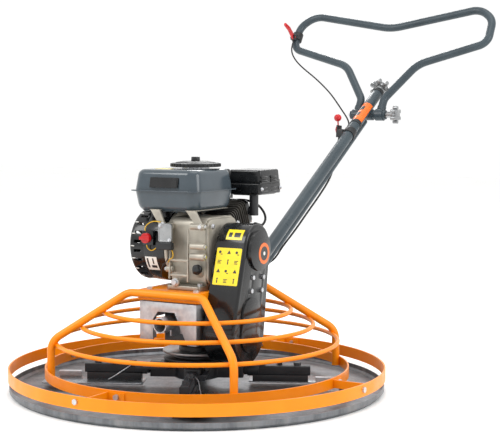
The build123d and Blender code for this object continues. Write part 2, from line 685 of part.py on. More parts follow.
def star(radius, thick, lobes):
    # lobed hand wheel about +Z at the origin, to be placed by its caller
    body = extrude(Circle(radius * 0.66), thick)
    for lobe in range(lobes):
        body += Rot(0, 0, lobe * 360 / lobes) * Pos(radius * 0.8, 0, 0) * extrude(Circle(radius * 0.23), thick)
    return body


def clamp_knob():
    wheel = Plane(origin=(88, CROSS_Y, CROSS_Z), z_dir=(1, 0, 0)) * star(28, 16, 6)
    stud = x_rod(CROSS_HALF - 40, 90, 6, CROSS_Y, CROSS_Z)
    return wheel + stud + x_rod(CROSS_HALF + 0.4, 88, 10, CROSS_Y, CROSS_Z)


def pitch_handwheel():
    seat = Plane(origin=MAST @ (MAST_LENGTH + 10), z_dir=MAST.direction)
    wheel = seat * star(36, 18, 7)
    collar = rod(MAST @ (MAST_LENGTH + 0.5), MAST @ (MAST_LENGTH + 11), 16)
    return wheel + collar + rod(MAST @ (MAST_LENGTH - 60), MAST @ (MAST_LENGTH + 2), 12)


THROTTLE_AT = 993.0       # distance of the throttle lever up the mast
THROTTLE_X = -38.0


def throttle_bracket():
    clamp = rod(MAST @ (THROTTLE_AT - 12), MAST @ (THROTTLE_AT + 12), MAST_R + 3, MAST_R)
    ear = block(THROTTLE_X - 3, -MAST_R - 1, -13, 13, -13, 13)
    frame = Pos(*(MAST @ THROTTLE_AT)) * Rot(-4, 0, 0)
    pivot = frame * x_rod(THROTTLE_X - 13, THROTTLE_X - 2, 3, 8, 12)
    plate = block(THROTTLE_X - 3, THROTTLE_X, -12, 22, -10, 26)
    bracket = clamp + frame * (ear + plate) + pivot
    brace_drop = MAST_R + BRACE_R - 1.0
    bracket -= rod(beside_mast(THROTTLE_AT - 20, brace_drop), beside_mast(THROTTLE_AT + 20, brace_drop),
                   BRACE_R + 0.2)
    return bracket - rod(MAST @ (THROTTLE_AT - 30), MAST @ (THROTTLE_AT + 30), MAST_R + 0.05)


def throttle_lever():
    frame = Pos(*(MAST @ THROTTLE_AT)) * Rot(-4, 0, 0)
    disc_part = x_rod(THROTTLE_X - 9, THROTTLE_X - 3.4, 14, 8, 12)
    arm = rod((THROTTLE_X - 6.2, 8, 22), (THROTTLE_X - 6.2, 3, 46), 2.4)
    ball = Pos(THROTTLE_X - 6.2, 2, 50) * Sphere(12)
    lever = disc_part + arm + ball
    return frame * (lever - x_rod(THROTTLE_X - 14, THROTTLE_X, 3 + RUNNING_GAP, 8, 12))


KILL_AT = loop_point(-354.0, 322.0)


def kill_bracket():
    low, high = loop_point(-354, 308), loop_point(-354, 336)
    clamp = rod(low, high, LOOP_R + 5)
    ear = block(-8, 8, -38, -LOOP_R - 2, -9, 9)
    ear -= x_rod(-9, 9, 2.6, -31, 0) + block(-3.5, 3.5, -39, -20, -10, 10)
    bore = rod(loop_point(-354, 290), loop_point(-354, 354), LOOP_R + 0.1)
    return clamp + Pos(*KILL_AT) * ear - bore


def kill_lever():
    frame = Pos(*KILL_AT)
    hub = x_rod(-3.2, 3.2, 7.5, -31, 0) + x_rod(-8, 8, 2.5, -31, 0)
    blade = Polyline((-24, 2), (-34, 12), (-62, 34), (-92, 46), (-96, 38), (-68, 22), (-38, -6), (-26, -6),
                     close=True)
    plate = extrude(side_plane(-3.2) * make_face(blade), 6.4)
    plate = plate - x_rod(-4, 4, 6, -31, 0)
    return frame * (hub + plate)


# ---- cables -------------------------------------------------------------------------
KILL_ROUTE = [(-352.0, 1202.8, 977.3), (-350.0, 1185.0, 957.0), (-340.0, 1165.0, 934.0),
              (-318.0, 1144.0, 911.0), (-288.0, 1123.0, 889.0), (-251.0, 1102.0, 867.0),
              (-209.0, 1082.0, 843.0), (-167.0, 1063.0, 815.0), (-129.0, 1045.0, 786.0),
              (-97.0, 1026.0, 757.0), (-69.0, 1009.0, 730.0), (-46.0, 995.0, 708.0),
              (-31.0, 980.0, 692.0), (-23.0, 964.0, 682.0)]


def throttle_route():
    start = [beside_mast(THROTTLE_AT - 10, 8, -34), beside_mast(THROTTLE_AT - 70, 30, -28),
             beside_mast(THROTTLE_AT - 130, 44, -12), beside_mast(THROTTLE_AT - 200, 46, 2)]
    along = [beside_mast(d, drop, side) for d, drop, side in ((700, 48, 3), (610, 43, 6), (525, 46, 4))]
    end = [(4.0, 455.0, 328.0), (1.0, 424.0, 300.0), (-8.0, 386.0, 286.0), (-24.0, 346.0, 284.0),
           (-46.0, 306.0, 290.0), (-66.0, 268.0, 302.0), (-80.0, 232.0, 320.0), (-86.0, 200.0, 342.0),
           (-84.0, 176.0, 362.0), (-76.0, 156.0, 382.0), (-68.0, 145.0, 392.5)]
    return start + along + end


def corner_radii(points):
    radii = []
    for before, here, after in zip(points, points[1:], points[2:]):
        run_in = Vector(*here) - Vector(*before)
        run_out = Vector(*after) - Vector(*here)
        half_turn = radians(run_in.get_angle(run_out)) / 2
        radii.append(0.45 * min(run_in.length, run_out.length) / tan(half_turn))
    return radii


def cable(name, points, radius):
    radii = corner_radii(points)
    path = FilletPolyline(*points, radius=radii)
    solid = sweep(Plane(origin=path @ 0, z_dir=path % 0) * Circle(radius), path=path)
    runs = [(Vector(*b) - Vector(*a)).length for a, b in zip(points, points[1:])]
    print(name, "radii", [round(r) for r in radii], "runs", [round(r) for r in runs])
    print(name, "length", round(path.length), "volume ratio",
          round(solid.volume / (pi * radius ** 2 * path.length), 4))
    return solid


# ---- write every piece --------------------------------------------------------------
os.makedirs("parts", exist_ok=True)

save("float_pan", float_pan())
save("pan_clips", group([pan_clip(a) for a in ARM_ANGLES]))
save("spider_hub", spider_hub())
save("output_shaft", output_shaft())
save("worm_wheel", worm_wheel())
for number, arm_angle in enumerate(ARM_ANGLES, 1):
    save(f"trowel_arm_{number}", trowel_arm(arm_angle))
    save(f"trowel_blade_{number}", trowel_blade(arm_angle))
save("pressure_collar", pressure_collar())

save("guard_outer_ring", ring_with_holes(RING_R, OUTER_Z[0], OUTER_Z[1], -1))
save("guard_inner_ring", ring_with_holes(INNER_R, INNER_Z[0], INNER_Z[1], 1))
save("guard_spacers", group([ring_spacer(a) for a in (0, 90, 180, 270)]))
save("guard_tubes", group([guard_tube(-1), guard_tube(1)]))
save("guard_hoops", group([hoop(z) for z in HOOP_HEIGHTS]))
bolts = [ring_bolt(a, s) for a in (0, 90, 180, 270) for s in (1, -1)]
bolts += [hex_bolt((x, y, DECK_TOP + 12), (x, y, DECK_TOP - 14)) for x, y in engine_holes()]
bolts += [hex_bolt((x, y, DECK_TOP), (x, y, BRACKET[3] - 12)) for x, y in bracket_holes()]
bolts += [hex_bolt((COVER_X[1], y, z), (COVER_X[1] - 14, y, z), 11, 5, 3) for y, z in cover_bolt_spots()]
save("frame_bolts", group(bolts))

save("engine_platform", engine_platform())
save("base_bracket", base_bracket())
save("gearbox_case", gearbox_case())
save("worm_shaft", worm_shaft())
save("driven_pulley", driven_pulley())
save("clutch_pulley", clutch_pulley())
save("v_belt", v_belt())
cover = belt_cover()
for y, z in cover_bolt_spots():
    cover -= x_rod(COVER_X[1] - 4, COVER_X[1] + 1, 3.3, y, z)
save("belt_cover", cover)

save("crankcase", crankcase())
save("crankcase_cover", crankcase_cover())
save("crankshaft", crankshaft())
save("flywheel", flywheel())
save("fan_housing", fan_housing() + switch_box())
save("recoil_cover", recoil_cover())
save("starter_grip", starter_grip())
save("cylinder", cylinder())
save("cylinder_head", cylinder_head())
save("rocker_cover", rocker_cover())
save("spark_plug", spark_plug())
save("carburettor", carburettor())
save("choke_lever", choke_lever())
save("air_cleaner", air_cleaner())
save("muffler", muffler())
save("muffler_guard", muffler_guard())
save("fuel_tank", fuel_tank())
save("fuel_cap", fuel_cap())
save("tank_brackets", group(tank_brackets()))
save("engine_switch", engine_switch())
save("oil_filler_cap", oil_filler_cap())

save("mast_tube", mast_tube())
save("cross_tube", cross_tube())
save("handle_loop", handle_loop())
save("clamp_knob", clamp_knob())
save("pitch_handwheel", pitch_handwheel())
save("throttle_bracket", throttle_bracket())
save("throttle_lever", throttle_lever())
save("kill_bracket", kill_bracket())
save("kill_lever", kill_lever())
save("kill_cable", cable("kill_cable", KILL_ROUTE, KILL_CABLE_R))
save("throttle_cable", cable("throttle_cable", throttle_route(), THROTTLE_CABLE_R))
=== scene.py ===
import json
from math import cos, pi, radians, sin, sqrt

import bpy
from mathutils import Matrix, Vector


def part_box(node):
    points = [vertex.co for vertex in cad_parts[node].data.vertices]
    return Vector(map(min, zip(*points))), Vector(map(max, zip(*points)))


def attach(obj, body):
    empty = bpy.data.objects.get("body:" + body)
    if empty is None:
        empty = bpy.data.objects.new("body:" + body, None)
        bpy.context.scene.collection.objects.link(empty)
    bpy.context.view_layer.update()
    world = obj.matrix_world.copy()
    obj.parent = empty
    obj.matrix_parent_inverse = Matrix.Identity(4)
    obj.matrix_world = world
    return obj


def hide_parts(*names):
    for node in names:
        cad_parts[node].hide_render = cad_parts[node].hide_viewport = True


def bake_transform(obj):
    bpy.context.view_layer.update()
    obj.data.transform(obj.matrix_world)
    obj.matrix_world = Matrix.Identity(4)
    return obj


bl_info = {
    "name": "Power trowel",
    "version": (1, 0, 0),
    "blender": (4, 5, 0),
    "location": "View3D > Sidebar > Power trowel",
    "description": "Builds the looks of a walk-behind power trowel around its CAD frame",
    "category": "Add Mesh",
}

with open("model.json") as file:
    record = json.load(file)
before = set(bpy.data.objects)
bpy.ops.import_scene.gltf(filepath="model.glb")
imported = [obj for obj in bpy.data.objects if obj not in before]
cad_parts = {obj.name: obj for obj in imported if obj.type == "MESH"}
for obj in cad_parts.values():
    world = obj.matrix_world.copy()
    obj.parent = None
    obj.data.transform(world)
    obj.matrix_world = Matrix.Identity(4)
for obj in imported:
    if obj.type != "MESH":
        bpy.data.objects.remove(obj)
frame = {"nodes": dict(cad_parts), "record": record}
MM = 0.001


# ---- colours and nodes -----------------------------------------------------------------
def linear(hex_code):
    """An sRGB hex colour as linear red, green and blue."""
    channels = [int(hex_code[i:i + 2], 16) / 255 for i in (1, 3, 5)]
    return tuple(c / 12.92 if c <= 0.04045 else ((c + 0.055) / 1.055) ** 2.4 for c in channels)


def rgba(colour):
    return (*colour[:3], 1.0)


def add_node(tree, kind, inputs=None, **settings):
    """Adds a node; an input is a value, or the socket that feeds it."""
    made = tree.nodes.new(kind)
    for key, value in settings.items():
        setattr(made, key, value)
    for key, value in (inputs or {}).items():
        if isinstance(value, bpy.types.NodeSocket):
            tree.links.new(value, made.inputs[key])
        else:
            made.inputs[key].default_value = value
    return made


def new_material(name):
    """An empty node material with its shader, and object coordinates in metres."""
    material = bpy.data.materials.new(name)
    material.use_nodes = True
    tree = material.node_tree
    tree.nodes.clear()
    shader = add_node(tree, "ShaderNodeBsdfPrincipled")
    add_node(tree, "ShaderNodeOutputMaterial", {"Surface": shader.outputs[0]})
    place = add_node(tree, "ShaderNodeTexCoord").outputs["Object"]
    return material, tree, shader, place


def noise(tree, place, size_mm, stretch=(1, 1, 1), detail=4.0):
    """Noise whose largest blotches are about size_mm across; stretch above 1 squeezes an axis."""
    scaled = add_node(tree, "ShaderNodeMapping", {"Vector": place, "Scale": stretch})
    settings = {"Vector": scaled.outputs[0], "Scale": 1 / (size_mm * MM), "Detail": detail}
    return add_node(tree, "ShaderNodeTexNoise", settings).outputs["Fac"]


def spread(tree, value, low, high, start=0.3, end=0.7):
    """A noise value spread from low to high."""
    return add_node(tree, "ShaderNodeMapRange", {"Value": value, "From Min": start, "From Max": end,
                                                 "To Min": low, "To Max": high}).outputs[0]


def blended(tree, factor, first, second):
    """Two colours mixed by a factor from 0 to 1."""
    mix = add_node(tree, "ShaderNodeMix", data_type="RGBA")
    tree.links.new(factor, mix.inputs["Factor"])
    for socket, colour in ((mix.inputs[6], first), (mix.inputs[7], second)):
        if isinstance(colour, bpy.types.NodeSocket):
            tree.links.new(colour, socket)
        else:
            socket.default_value = rgba(colour)
    return mix.outputs[2]


def relief(tree, shader, height, depth_mm):
    """Bumps the surface by a height from 0 to 1, depth_mm deep."""
    bump = add_node(tree, "ShaderNodeBump", {"Height": height, "Distance": depth_mm * MM})
    tree.links.new(bump.outputs[0], shader.inputs["Normal"])


def dust_on_top(tree, place, amount):
    """How much pale dust lies on faces that look up, patchy over about 60 mm."""
    normal = add_node(tree, "ShaderNodeNewGeometry").outputs["Normal"]
    up = add_node(tree, "ShaderNodeSeparateXYZ", {"Vector": normal})
    facing = spread(tree, up.outputs["Z"], 0, amount, 0.4, 1.0)
    patches = spread(tree, noise(tree, place, 60), 0.2, 1)
    return add_node(tree, "ShaderNodeMath", {0: facing, 1: patches}, operation="MULTIPLY").outputs[0]


def powder_coat(name, colour, shade, rough, dust=0.05):
    """Powder coat: a thick baked film with a fine orange-peel ripple and a soft gloss."""
    material, tree, shader, place = new_material(name)
    cloudy = blended(tree, spread(tree, noise(tree, place, 90), 0, 1), colour, shade)
    dusted = blended(tree, dust_on_top(tree, place, dust), cloudy, linear("#D8D2C6"))
    tree.links.new(dusted, shader.inputs["Base Color"])
    haze = spread(tree, noise(tree, place, 25), rough - 0.05, rough + 0.09)
    tree.links.new(haze, shader.inputs["Roughness"])
    shader.inputs["IOR"].default_value = 1.5
    shader.inputs["Specular IOR Level"].default_value = 0.3
    shader.inputs["Coat Weight"].default_value = 0.06
    shader.inputs["Coat Roughness"].default_value = 0.15
    # the real ripple is about 1 mm; it is drawn at 2.5 mm so that it shows
    relief(tree, shader, noise(tree, place, 2.5, detail=1.0), 0.05)
    return material


def plated_steel(name, colour, shade, rough, grain=(1, 1, 1), grain_mm=12.0):
    """Steel, zinc plated or rolled: a metal with cloudy tone and fine marks along its grain."""
    material, tree, shader, place = new_material(name)
    shader.inputs["Metallic"].default_value = 1.0
    marks = noise(tree, place, grain_mm, grain, 6.0)
    clouds = noise(tree, place, 70)
    tone = blended(tree, spread(tree, marks, 0, 1, 0.35, 0.65), colour, shade)
    tree.links.new(blended(tree, spread(tree, clouds, 0, 0.4), tone, shade), shader.inputs["Base Color"])
    tree.links.new(spread(tree, marks, rough - 0.07, rough + 0.12), shader.inputs["Roughness"])
    relief(tree, shader, marks, 0.04)
    return material


def cast_metal(name, colour, shade, rough, metallic, grain_mm, depth_mm):
    """Sand or die casting: a pebbled skin, duller in its hollows."""
    material, tree, shader, place = new_material(name)
    shader.inputs["Metallic"].default_value = metallic
    pebbles = noise(tree, place, grain_mm, detail=3.0)
    clouds = spread(tree, noise(tree, place, 40), 0, 1)
    tree.links.new(blended(tree, clouds, colour, shade), shader.inputs["Base Color"])
    tree.links.new(spread(tree, pebbles, rough - 0.08, rough + 0.1), shader.inputs["Roughness"])
    relief(tree, shader, pebbles, depth_mm)
    return material


def moulded(name, colour, shade, rough, grain_mm=1.5, depth_mm=0.03):
    """Moulded plastic or rubber: even colour, a fine spark-eroded texture."""
    material, tree, shader, place = new_material(name)
    tree.links.new(blended(tree, spread(tree, noise(tree, place, 30), 0, 1), colour, shade),
                   shader.inputs["Base Color"])
    haze = spread(tree, noise(tree, place, 12), rough - 0.05, rough + 0.08)
    tree.links.new(haze, shader.inputs["Roughness"])
    shader.inputs["IOR"].default_value = 1.49
    relief(tree, shader, noise(tree, place, grain_mm, detail=1.0), depth_mm)
    return material


def printed_film(name, colour, shade):
    """Vinyl label film: flat colour under a clear, slightly glossy face."""
    material, tree, shader, place = new_material(name)
    tree.links.new(blended(tree, spread(tree, noise(tree, place, 20), 0, 1), colour, shade),
                   shader.inputs["Base Color"])
    tree.links.new(spread(tree, noise(tree, place, 8), 0.3, 0.42), shader.inputs["Roughness"])
    shader.inputs["Coat Weight"].default_value = 0.3
    shader.inputs["Coat Roughness"].default_value = 0.15
    return material


def gloss_enamel(name, colour, shade, rough=0.22, dust=0.0):
    """Sprayed gloss enamel: a smooth wet-looking film that mirrors the soft lights."""
    material, tree, shader, place = new_material(name)
    cloudy = blended(tree, spread(tree, noise(tree, place, 80), 0, 1), colour, shade)
    tree.links.new(blended(tree, dust_on_top(tree, place, dust), cloudy, linear("#B9B4AB")),
                   shader.inputs["Base Color"])
    haze = spread(tree, noise(tree, place, 30), rough - 0.05, rough + 0.06)
    tree.links.new(haze, shader.inputs["Roughness"])
    shader.inputs["Coat Weight"].default_value = 0.3
    shader.inputs["Coat Roughness"].default_value = 0.06
    shader.inputs["Specular IOR Level"].default_value = 0.35
    relief(tree, shader, noise(tree, place, 4, detail=1.0), 0.02)
    return material


# ---- modelling -------------------------------------------------------------------------
def clear_selection():
    """Back to object mode, with nothing selected."""
    if bpy.context.object and bpy.context.object.mode != "OBJECT":
        bpy.ops.object.mode_set(mode="OBJECT")
    bpy.ops.object.select_all(action="DESELECT")


def only(piece):
    """Selects this piece alone and makes it the active one."""
    clear_selection()
    piece.select_set(True)
    bpy.context.view_layer.objects.active = piece


def named(name):
    """The primitive just added, with its own name, its place moved into its mesh."""
    piece = bpy.context.object
    piece.name = name
    piece.data.name = name
    bpy.ops.object.transform_apply(location=True, rotation=True, scale=True)
    return piece


def drum(name, start, end, radius, sides=32, top_radius=None):
    """A cylinder or cone from start to end, in millimetres."""
    clear_selection()
    start, end = Vector(start) * MM, Vector(end) * MM
    turn = (end - start).to_track_quat("Z", "Y").to_euler()
    bpy.ops.mesh.primitive_cone_add(
        vertices=sides, radius1=radius * MM, radius2=(radius if top_radius is None else top_radius) * MM,
        depth=(end - start).length, location=(start + end) / 2, rotation=turn)
    return named(name)


def slab(name, x0, x1, y0, y1, z0, z1):
    """A box between two corners, in millimetres."""
    clear_selection()
    centre = ((x0 + x1) / 2 * MM, (y0 + y1) / 2 * MM, (z0 + z1) / 2 * MM)
    bpy.ops.mesh.primitive_cube_add(size=1, location=centre)
    bpy.context.object.scale = ((x1 - x0) * MM, (y1 - y0) * MM, (z1 - z0) * MM)
    return named(name)


def ring(name, centre, axis, radius, thick, sides=48):
    """A round wire ring about axis, in millimetres."""
    clear_selection()
    turn = Vector(axis).to_track_quat("Z", "Y").to_euler()
    bpy.ops.mesh.primitive_torus_add(major_radius=radius * MM, minor_radius=thick * MM, major_segments=sides,
                                     minor_segments=12, location=Vector(centre) * MM, rotation=turn)
    return named(name)


def modify(piece, kind, **settings):
    """Adds a modifier with its settings, and applies it."""
    only(piece)
    modifier = piece.modifiers.new(kind, kind)
    for key, value in settings.items():
        setattr(modifier, key, value)
    bpy.ops.object.modifier_apply(modifier=modifier.name)


def soften(piece, width_mm, steps=2, angle=35):
    """Rounds every edge sharper than angle, as casting, pressing and paint do."""
    modify(piece, "BEVEL", width=width_mm * MM, segments=steps, limit_method="ANGLE",
           angle_limit=radians(angle), use_clamp_overlap=True)
    only(piece)
    bpy.ops.object.shade_smooth_by_angle(angle=radians(40))
    return piece


def pick(piece, wanted):
    """Selects the faces whose centre and normal pass wanted, and goes into edit mode."""
    only(piece)
    bpy.ops.object.mode_set(mode="EDIT")
    bpy.ops.mesh.select_mode(type="FACE")
    bpy.ops.mesh.select_all(action="DESELECT")
    bpy.ops.object.mode_set(mode="OBJECT")
    for face in piece.data.polygons:
        face.select = bool(wanted(face.center / MM, face.normal))
    bpy.ops.object.mode_set(mode="EDIT")


def inset(piece, wanted, in_mm, push_mm=0.0):
    """Insets the wanted faces together, and pushes them out or, below zero, in."""
    pick(piece, wanted)
    bpy.ops.mesh.inset(thickness=in_mm * MM, depth=0)
    if push_mm:
        bpy.ops.mesh.extrude_region_shrink_fatten(TRANSFORM_OT_shrink_fatten={"value": push_mm * MM})
    bpy.ops.object.mode_set(mode="OBJECT")
    return piece


def joined(name, pieces):
    """Pieces as one object; a single piece is only renamed."""
    clear_selection()
    for piece in pieces:
        piece.select_set(True)
    bpy.context.view_layer.objects.active = pieces[0]
    if len(pieces) > 1:
        bpy.ops.object.join()
    pieces[0].name = name
    pieces[0].data.name = name
    return pieces[0]


def finish(piece, material, body, slot, *replaced):
    """Gives a piece its material and its body, and hides the CAD nodes it replaces; its slot is not used."""
    piece.data.materials.clear()
    piece.data.materials.append(material)
    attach(piece, body)
    if replaced:
        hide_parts(*replaced)
    return piece


def bolt(head_at, towards, across=13.0, head=5.0, washer=True):
    """A hex head on its washer, its underside at head_at and its head towards the viewer."""
    at = Vector(head_at)
    out = Vector(towards).normalized()
    parts = []
    lift = 0.0
    if washer:
        parts.append(drum("washer", at, at + out * 1.4, across * 0.78, 24))
        lift = 1.2
    parts.append(drum("hex", at + out * lift, at + out * (lift + head), across / sqrt(3), 6))
    for part in parts:
        soften(part, 0.5, 1)
    return joined("bolt", parts)


def softened_copy(node, width_mm):
    """A merged copy of a CAD node with its edges rounded."""
    only(frame["nodes"][node])
    bpy.ops.object.duplicate(linked=False)
    copy = bpy.context.object
    copy.parent = None
    for key in list(copy.keys()):
        if key.startswith("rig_"):
            del copy[key]
    bpy.ops.object.mode_set(mode="EDIT")
    bpy.ops.mesh.select_all(action="SELECT")
    bpy.ops.mesh.remove_doubles(threshold=2e-5)
    bpy.ops.mesh.dissolve_limited(angle_limit=radians(1.0))
    bpy.ops.object.mode_set(mode="OBJECT")
    only(copy)
    bpy.ops.mesh.customdata_custom_splitnormals_clear()
    copy.name = node + "_shell"
    copy.data.name = node + "_shell"
    return soften(copy, width_mm)


# ---- sizes and colours that a user may change --------------------------------------------
class TrowelColours(bpy.types.PropertyGroup):
    """Paint and plastic colours of the trowel."""

    guard: bpy.props.FloatVectorProperty(
        name="Guard", description="Powder coat of the guard rings, hoops and deck",
        subtype="COLOR", min=0, max=1, default=linear("#FA9002"))
    mast: bpy.props.FloatVectorProperty(
        name="Mast", description="Powder coat of the mast and the handle bow",
        subtype="COLOR", min=0, max=1, default=linear("#3F4A50"))
    tank: bpy.props.FloatVectorProperty(
        name="Tank", description="Enamel of the fuel tank",
        subtype="COLOR", min=0, max=1, default=linear("#434D54"))
    covers: bpy.props.FloatVectorProperty(
        name="Covers", description="Enamel of the belt cover, the fan housing and the exhaust guard",
        subtype="COLOR", min=0, max=1, default=linear("#08090A"))
    levers: bpy.props.FloatVectorProperty(
        name="Levers", description="Moulded plastic of the levers and the switch knob",
        subtype="COLOR", min=0, max=1, default=linear("#C8141B"))
    label: bpy.props.FloatVectorProperty(
        name="Labels", description="Film of the warning labels",
        subtype="COLOR", min=0, max=1, default=linear("#F6DC00"))


class TrowelSizes(bpy.types.PropertyGroup):
    """Small sizes of the pieces that the CAD part leaves plain."""

    tank_flange: bpy.props.FloatProperty(
        name="Tank flange", description="How far the rolled seam stands out of the tank",
        subtype="DISTANCE", unit="LENGTH", min=0.002, max=0.012, default=0.007)
    grip_ribs: bpy.props.IntProperty(
        name="Cap ribs", description="Ribs round the fuel cap", min=12, max=60, default=36)


materials = {}


def make_materials():
    paint = bpy.context.scene.trowel_colours
    materials.update({
        # polyester powder coat, sprayed and baked: warm even orange, soft gloss, fine orange peel
        "guard": powder_coat("Orange powder coat", paint.guard, linear("#F38600"), 0.34, 0.01),
        # the same coat in slate grey on drawn tube
        "mast": powder_coat("Slate powder coat", paint.mast, linear("#343E44"), 0.3, 0.02),
        # two-part gloss enamel over pressed steel: deep wet reflections
        "tank": gloss_enamel("Blue grey gloss enamel", paint.tank, linear("#3A444B"), 0.2, 0.02),
        # black stoving enamel on pressed covers
        "covers": gloss_enamel("Black stoving enamel", paint.covers, linear("#0D0E10"), 0.24, 0.015),
        # hot rolled steel sheet, worn bright along its rim by concrete
        "pan": rolled_pan_steel(),
        # zinc plated and clear passivated: bright, slightly blue, cloudy
        "zinc": plated_steel("Zinc plated steel", linear("#D6D7D9"), linear("#C2C4C8"), 0.42),
        # spring steel blade plate, ground along its length
        "blade": plated_steel("Ground blade steel", linear("#AEB2B6"), linear("#82868B"), 0.3, (1, 1, 6), 9),
        # black painted sand casting: satin, pebbled
        "black_iron": cast_metal(
            "Black painted casting", linear("#15161A"), linear("#222428"), 0.42, 0.0, 3.5, 0.12),
        # grey primer on the gear case and pulleys
        "grey_iron": cast_metal(
            "Grey painted casting", linear("#5B5F62"), linear("#4A4E51"), 0.5, 0.1, 3.0, 0.12),
        # pressure die-cast aluminium, unpainted: pale warm grey with a fine grain
        "die_cast": cast_metal(
            "Die-cast aluminium", linear("#B7B1A4"), linear("#9C978C"), 0.46, 0.55, 2.0, 0.08),
        # the same aluminium painted darker for the cylinder and its head: painted shade between the fins
        "fin_shaded_cast": cast_metal(
            "Aluminium with painted fin shade", linear("#5B5852"), linear("#3A3835"), 0.5, 0.6, 2.0, 0.08),
        # tumbled aluminium hand wheels: nearly bright
        "wheel": cast_metal("Tumbled aluminium", linear("#A9AAAA"), linear("#8E9092"), 0.34, 0.9, 2.5, 0.05),
        # turned and ground shafting
        "turned": plated_steel("Turned steel", linear("#BFC1C4"), linear("#97999D"), 0.25, (1, 1, 1), 4),
        # phosphor bronze wheel rim
        "bronze": plated_steel("Phosphor bronze", linear("#B98A4C"), linear("#8E6837"), 0.35),
        # injection moulded nylon, spark eroded grain
        "nylon": moulded("Black moulded nylon", linear("#141517"), linear("#1D1F21"), 0.45),
        # fabric covered neoprene and cable jacket
        "rubber": moulded("Black rubber", linear("#101011"), linear("#1A1A1B"), 0.6, 2.0, 0.05),
        # glossy injection moulded ABS
        "red": moulded("Red ABS", paint.levers, linear("#A90F15"), 0.3),
        # vinyl label films and the ink on them; the black ink also paints the shade inside the exhaust
        # guard's louvre slits
        # the white film also paints the glints along the recoil rim
        "white": printed_film("White label film and painted rim glints", linear("#E9E9E4"), linear("#DCDCD6")),
        "yellow": printed_film("Yellow label film", paint.label, linear("#EBCF00")),
        "print": printed_film("Black label print and painted louvre shade", linear("#161616"), linear("#202020")),
        "orange_film": printed_film("Orange label film", linear("#F4720B"), linear("#E76503")),
        # soft vinyl jacket of the ignition wires
        "wire": moulded("Yellow wire jacket", linear("#E0B21A"), linear("#C99A10"), 0.45),
    })


def rolled_pan_steel():
    """Rolled steel sheet: mill scale rubbed to dull silver, with runs of dried slurry round the rim."""
    material, tree, shader, place = new_material("Rolled pan steel")
    runs = noise(tree, place, 34, (1, 1, 0.12), 5.0)
    fine = noise(tree, place, 6, (1, 1, 0.3), 4.0)
    scale = blended(tree, spread(tree, runs, 0, 1, 0.38, 0.62), linear("#7B7F83"), linear("#63676B"))
    rubbed = blended(tree, spread(tree, fine, 0, 0.35, 0.4, 0.7), scale, linear("#9A9DA0"))
    slurry = spread(tree, noise(tree, place, 55, (1, 1, 0.2), 6.0), 0, 0.4, 0.56, 0.74)
    tree.links.new(blended(tree, slurry, rubbed, linear("#8F8C86")), shader.inputs["Base Color"])
    tree.links.new(spread(tree, slurry, 0.85, 0.25, 0, 0.5), shader.inputs["Metallic"])
    tree.links.new(spread(tree, fine, 0.34, 0.6), shader.inputs["Roughness"])
    relief(tree, shader, fine, 0.06)
    return material


# ---- the CAD nodes that are shown as they are, and their finish ----------------------------
CARRIED = {
    "guard_outer_ring": "guard", "guard_inner_ring": "guard", "guard_hoops": "guard", "guard_tubes": "guard",
    "guard_spacers": "guard", "frame_bolts": "zinc", "float_pan": "pan", "pan_clips": "zinc",
    "output_shaft": "turned", "worm_wheel": "bronze", "worm_shaft": "turned", "driven_pulley": "grey_iron",
    "clutch_pulley": "grey_iron", "v_belt": "rubber", "crankshaft": "turned", "flywheel": "die_cast",
    "muffler": "black_iron", "mast_tube": "mast", "handle_loop": "mast", "cylinder": "fin_shaded_cast",
}

ARM_NUMBERS = range(1, 5)

# the CAD nodes that are shown as copies with rounded edges: finish and edge in millimetres
ROUNDED = {
    "engine_platform": ("guard", 1.6), "base_bracket": ("zinc", 1.2), "gearbox_case": ("grey_iron", 2.0),
    "belt_cover": ("covers", 2.2), "crankcase": ("die_cast", 2.0), "crankcase_cover": ("die_cast", 1.6),
    "fan_housing": ("covers", 1.6), "recoil_cover": ("covers", 1.2), "rocker_cover": ("covers", 1.6),
    "cylinder_head": ("fin_shaded_cast", 1.2), "carburettor": ("die_cast", 1.0), "air_cleaner": ("nylon", 1.6),
    "engine_switch": ("red", 1.2), "oil_filler_cap": ("nylon", 1.0), "starter_grip": ("nylon", 1.6),
    "spark_plug": ("rubber", 0.8), "choke_lever": ("nylon", 0.6), "cross_tube": ("mast", 0.8),
    "clamp_knob": ("wheel", 1.6), "pitch_handwheel": ("wheel", 2.0), "throttle_bracket": ("nylon", 0.8),
    "throttle_lever": ("red", 0.8), "kill_bracket": ("nylon", 0.8), "kill_lever": ("red", 1.2),
    "spider_hub": ("black_iron", 2.0), "pressure_collar": ("black_iron", 1.6),
}
ROUNDED.update({f"trowel_arm_{number}": ("black_iron", 1.4) for number in ARM_NUMBERS})
ROUNDED.update({f"trowel_blade_{number}": ("blade", 0.5) for number in ARM_NUMBERS})

SLOTS = {row["node"]: row["material_slot"] for row in frame["record"]["subparts"]}
BODIES = {node: body for body, nodes in frame["record"]["behaviour"]["bodies"].items() for node in nodes}


class TROWEL_OT_carry(bpy.types.Operator):
    """Paint the CAD nodes, and round the edges of those that are pressed, cast or moulded"""

    bl_idname = "trowel.carry"
    bl_label = "CAD nodes"

    def execute(self, context):
        for node, paint in CARRIED.items():
            shown = frame["nodes"][node]
            shown.data.materials.clear()
            shown.data.materials.append(materials[paint])
        for node, (paint, edge) in ROUNDED.items():
            copy = softened_copy(node, edge)
            finish(copy, materials[paint], BODIES[node], SLOTS[node], node)
        return {"FINISHED"}


# ---- shaping helpers -------------------------------------------------------------------
def pick_edges(piece, wanted):
    """Selects the edges whose two ends, in millimetres, pass wanted, and goes into edit mode."""
    only(piece)
    bpy.ops.object.mode_set(mode="EDIT")
    bpy.ops.mesh.select_mode(type="EDGE")
    bpy.ops.mesh.select_all(action="DESELECT")
    bpy.ops.object.mode_set(mode="OBJECT")
    points = piece.data.vertices
    for edge in piece.data.edges:
        edge.select = bool(wanted(points[edge.vertices[0]].co / MM, points[edge.vertices[1]].co / MM))
    bpy.ops.object.mode_set(mode="EDIT")


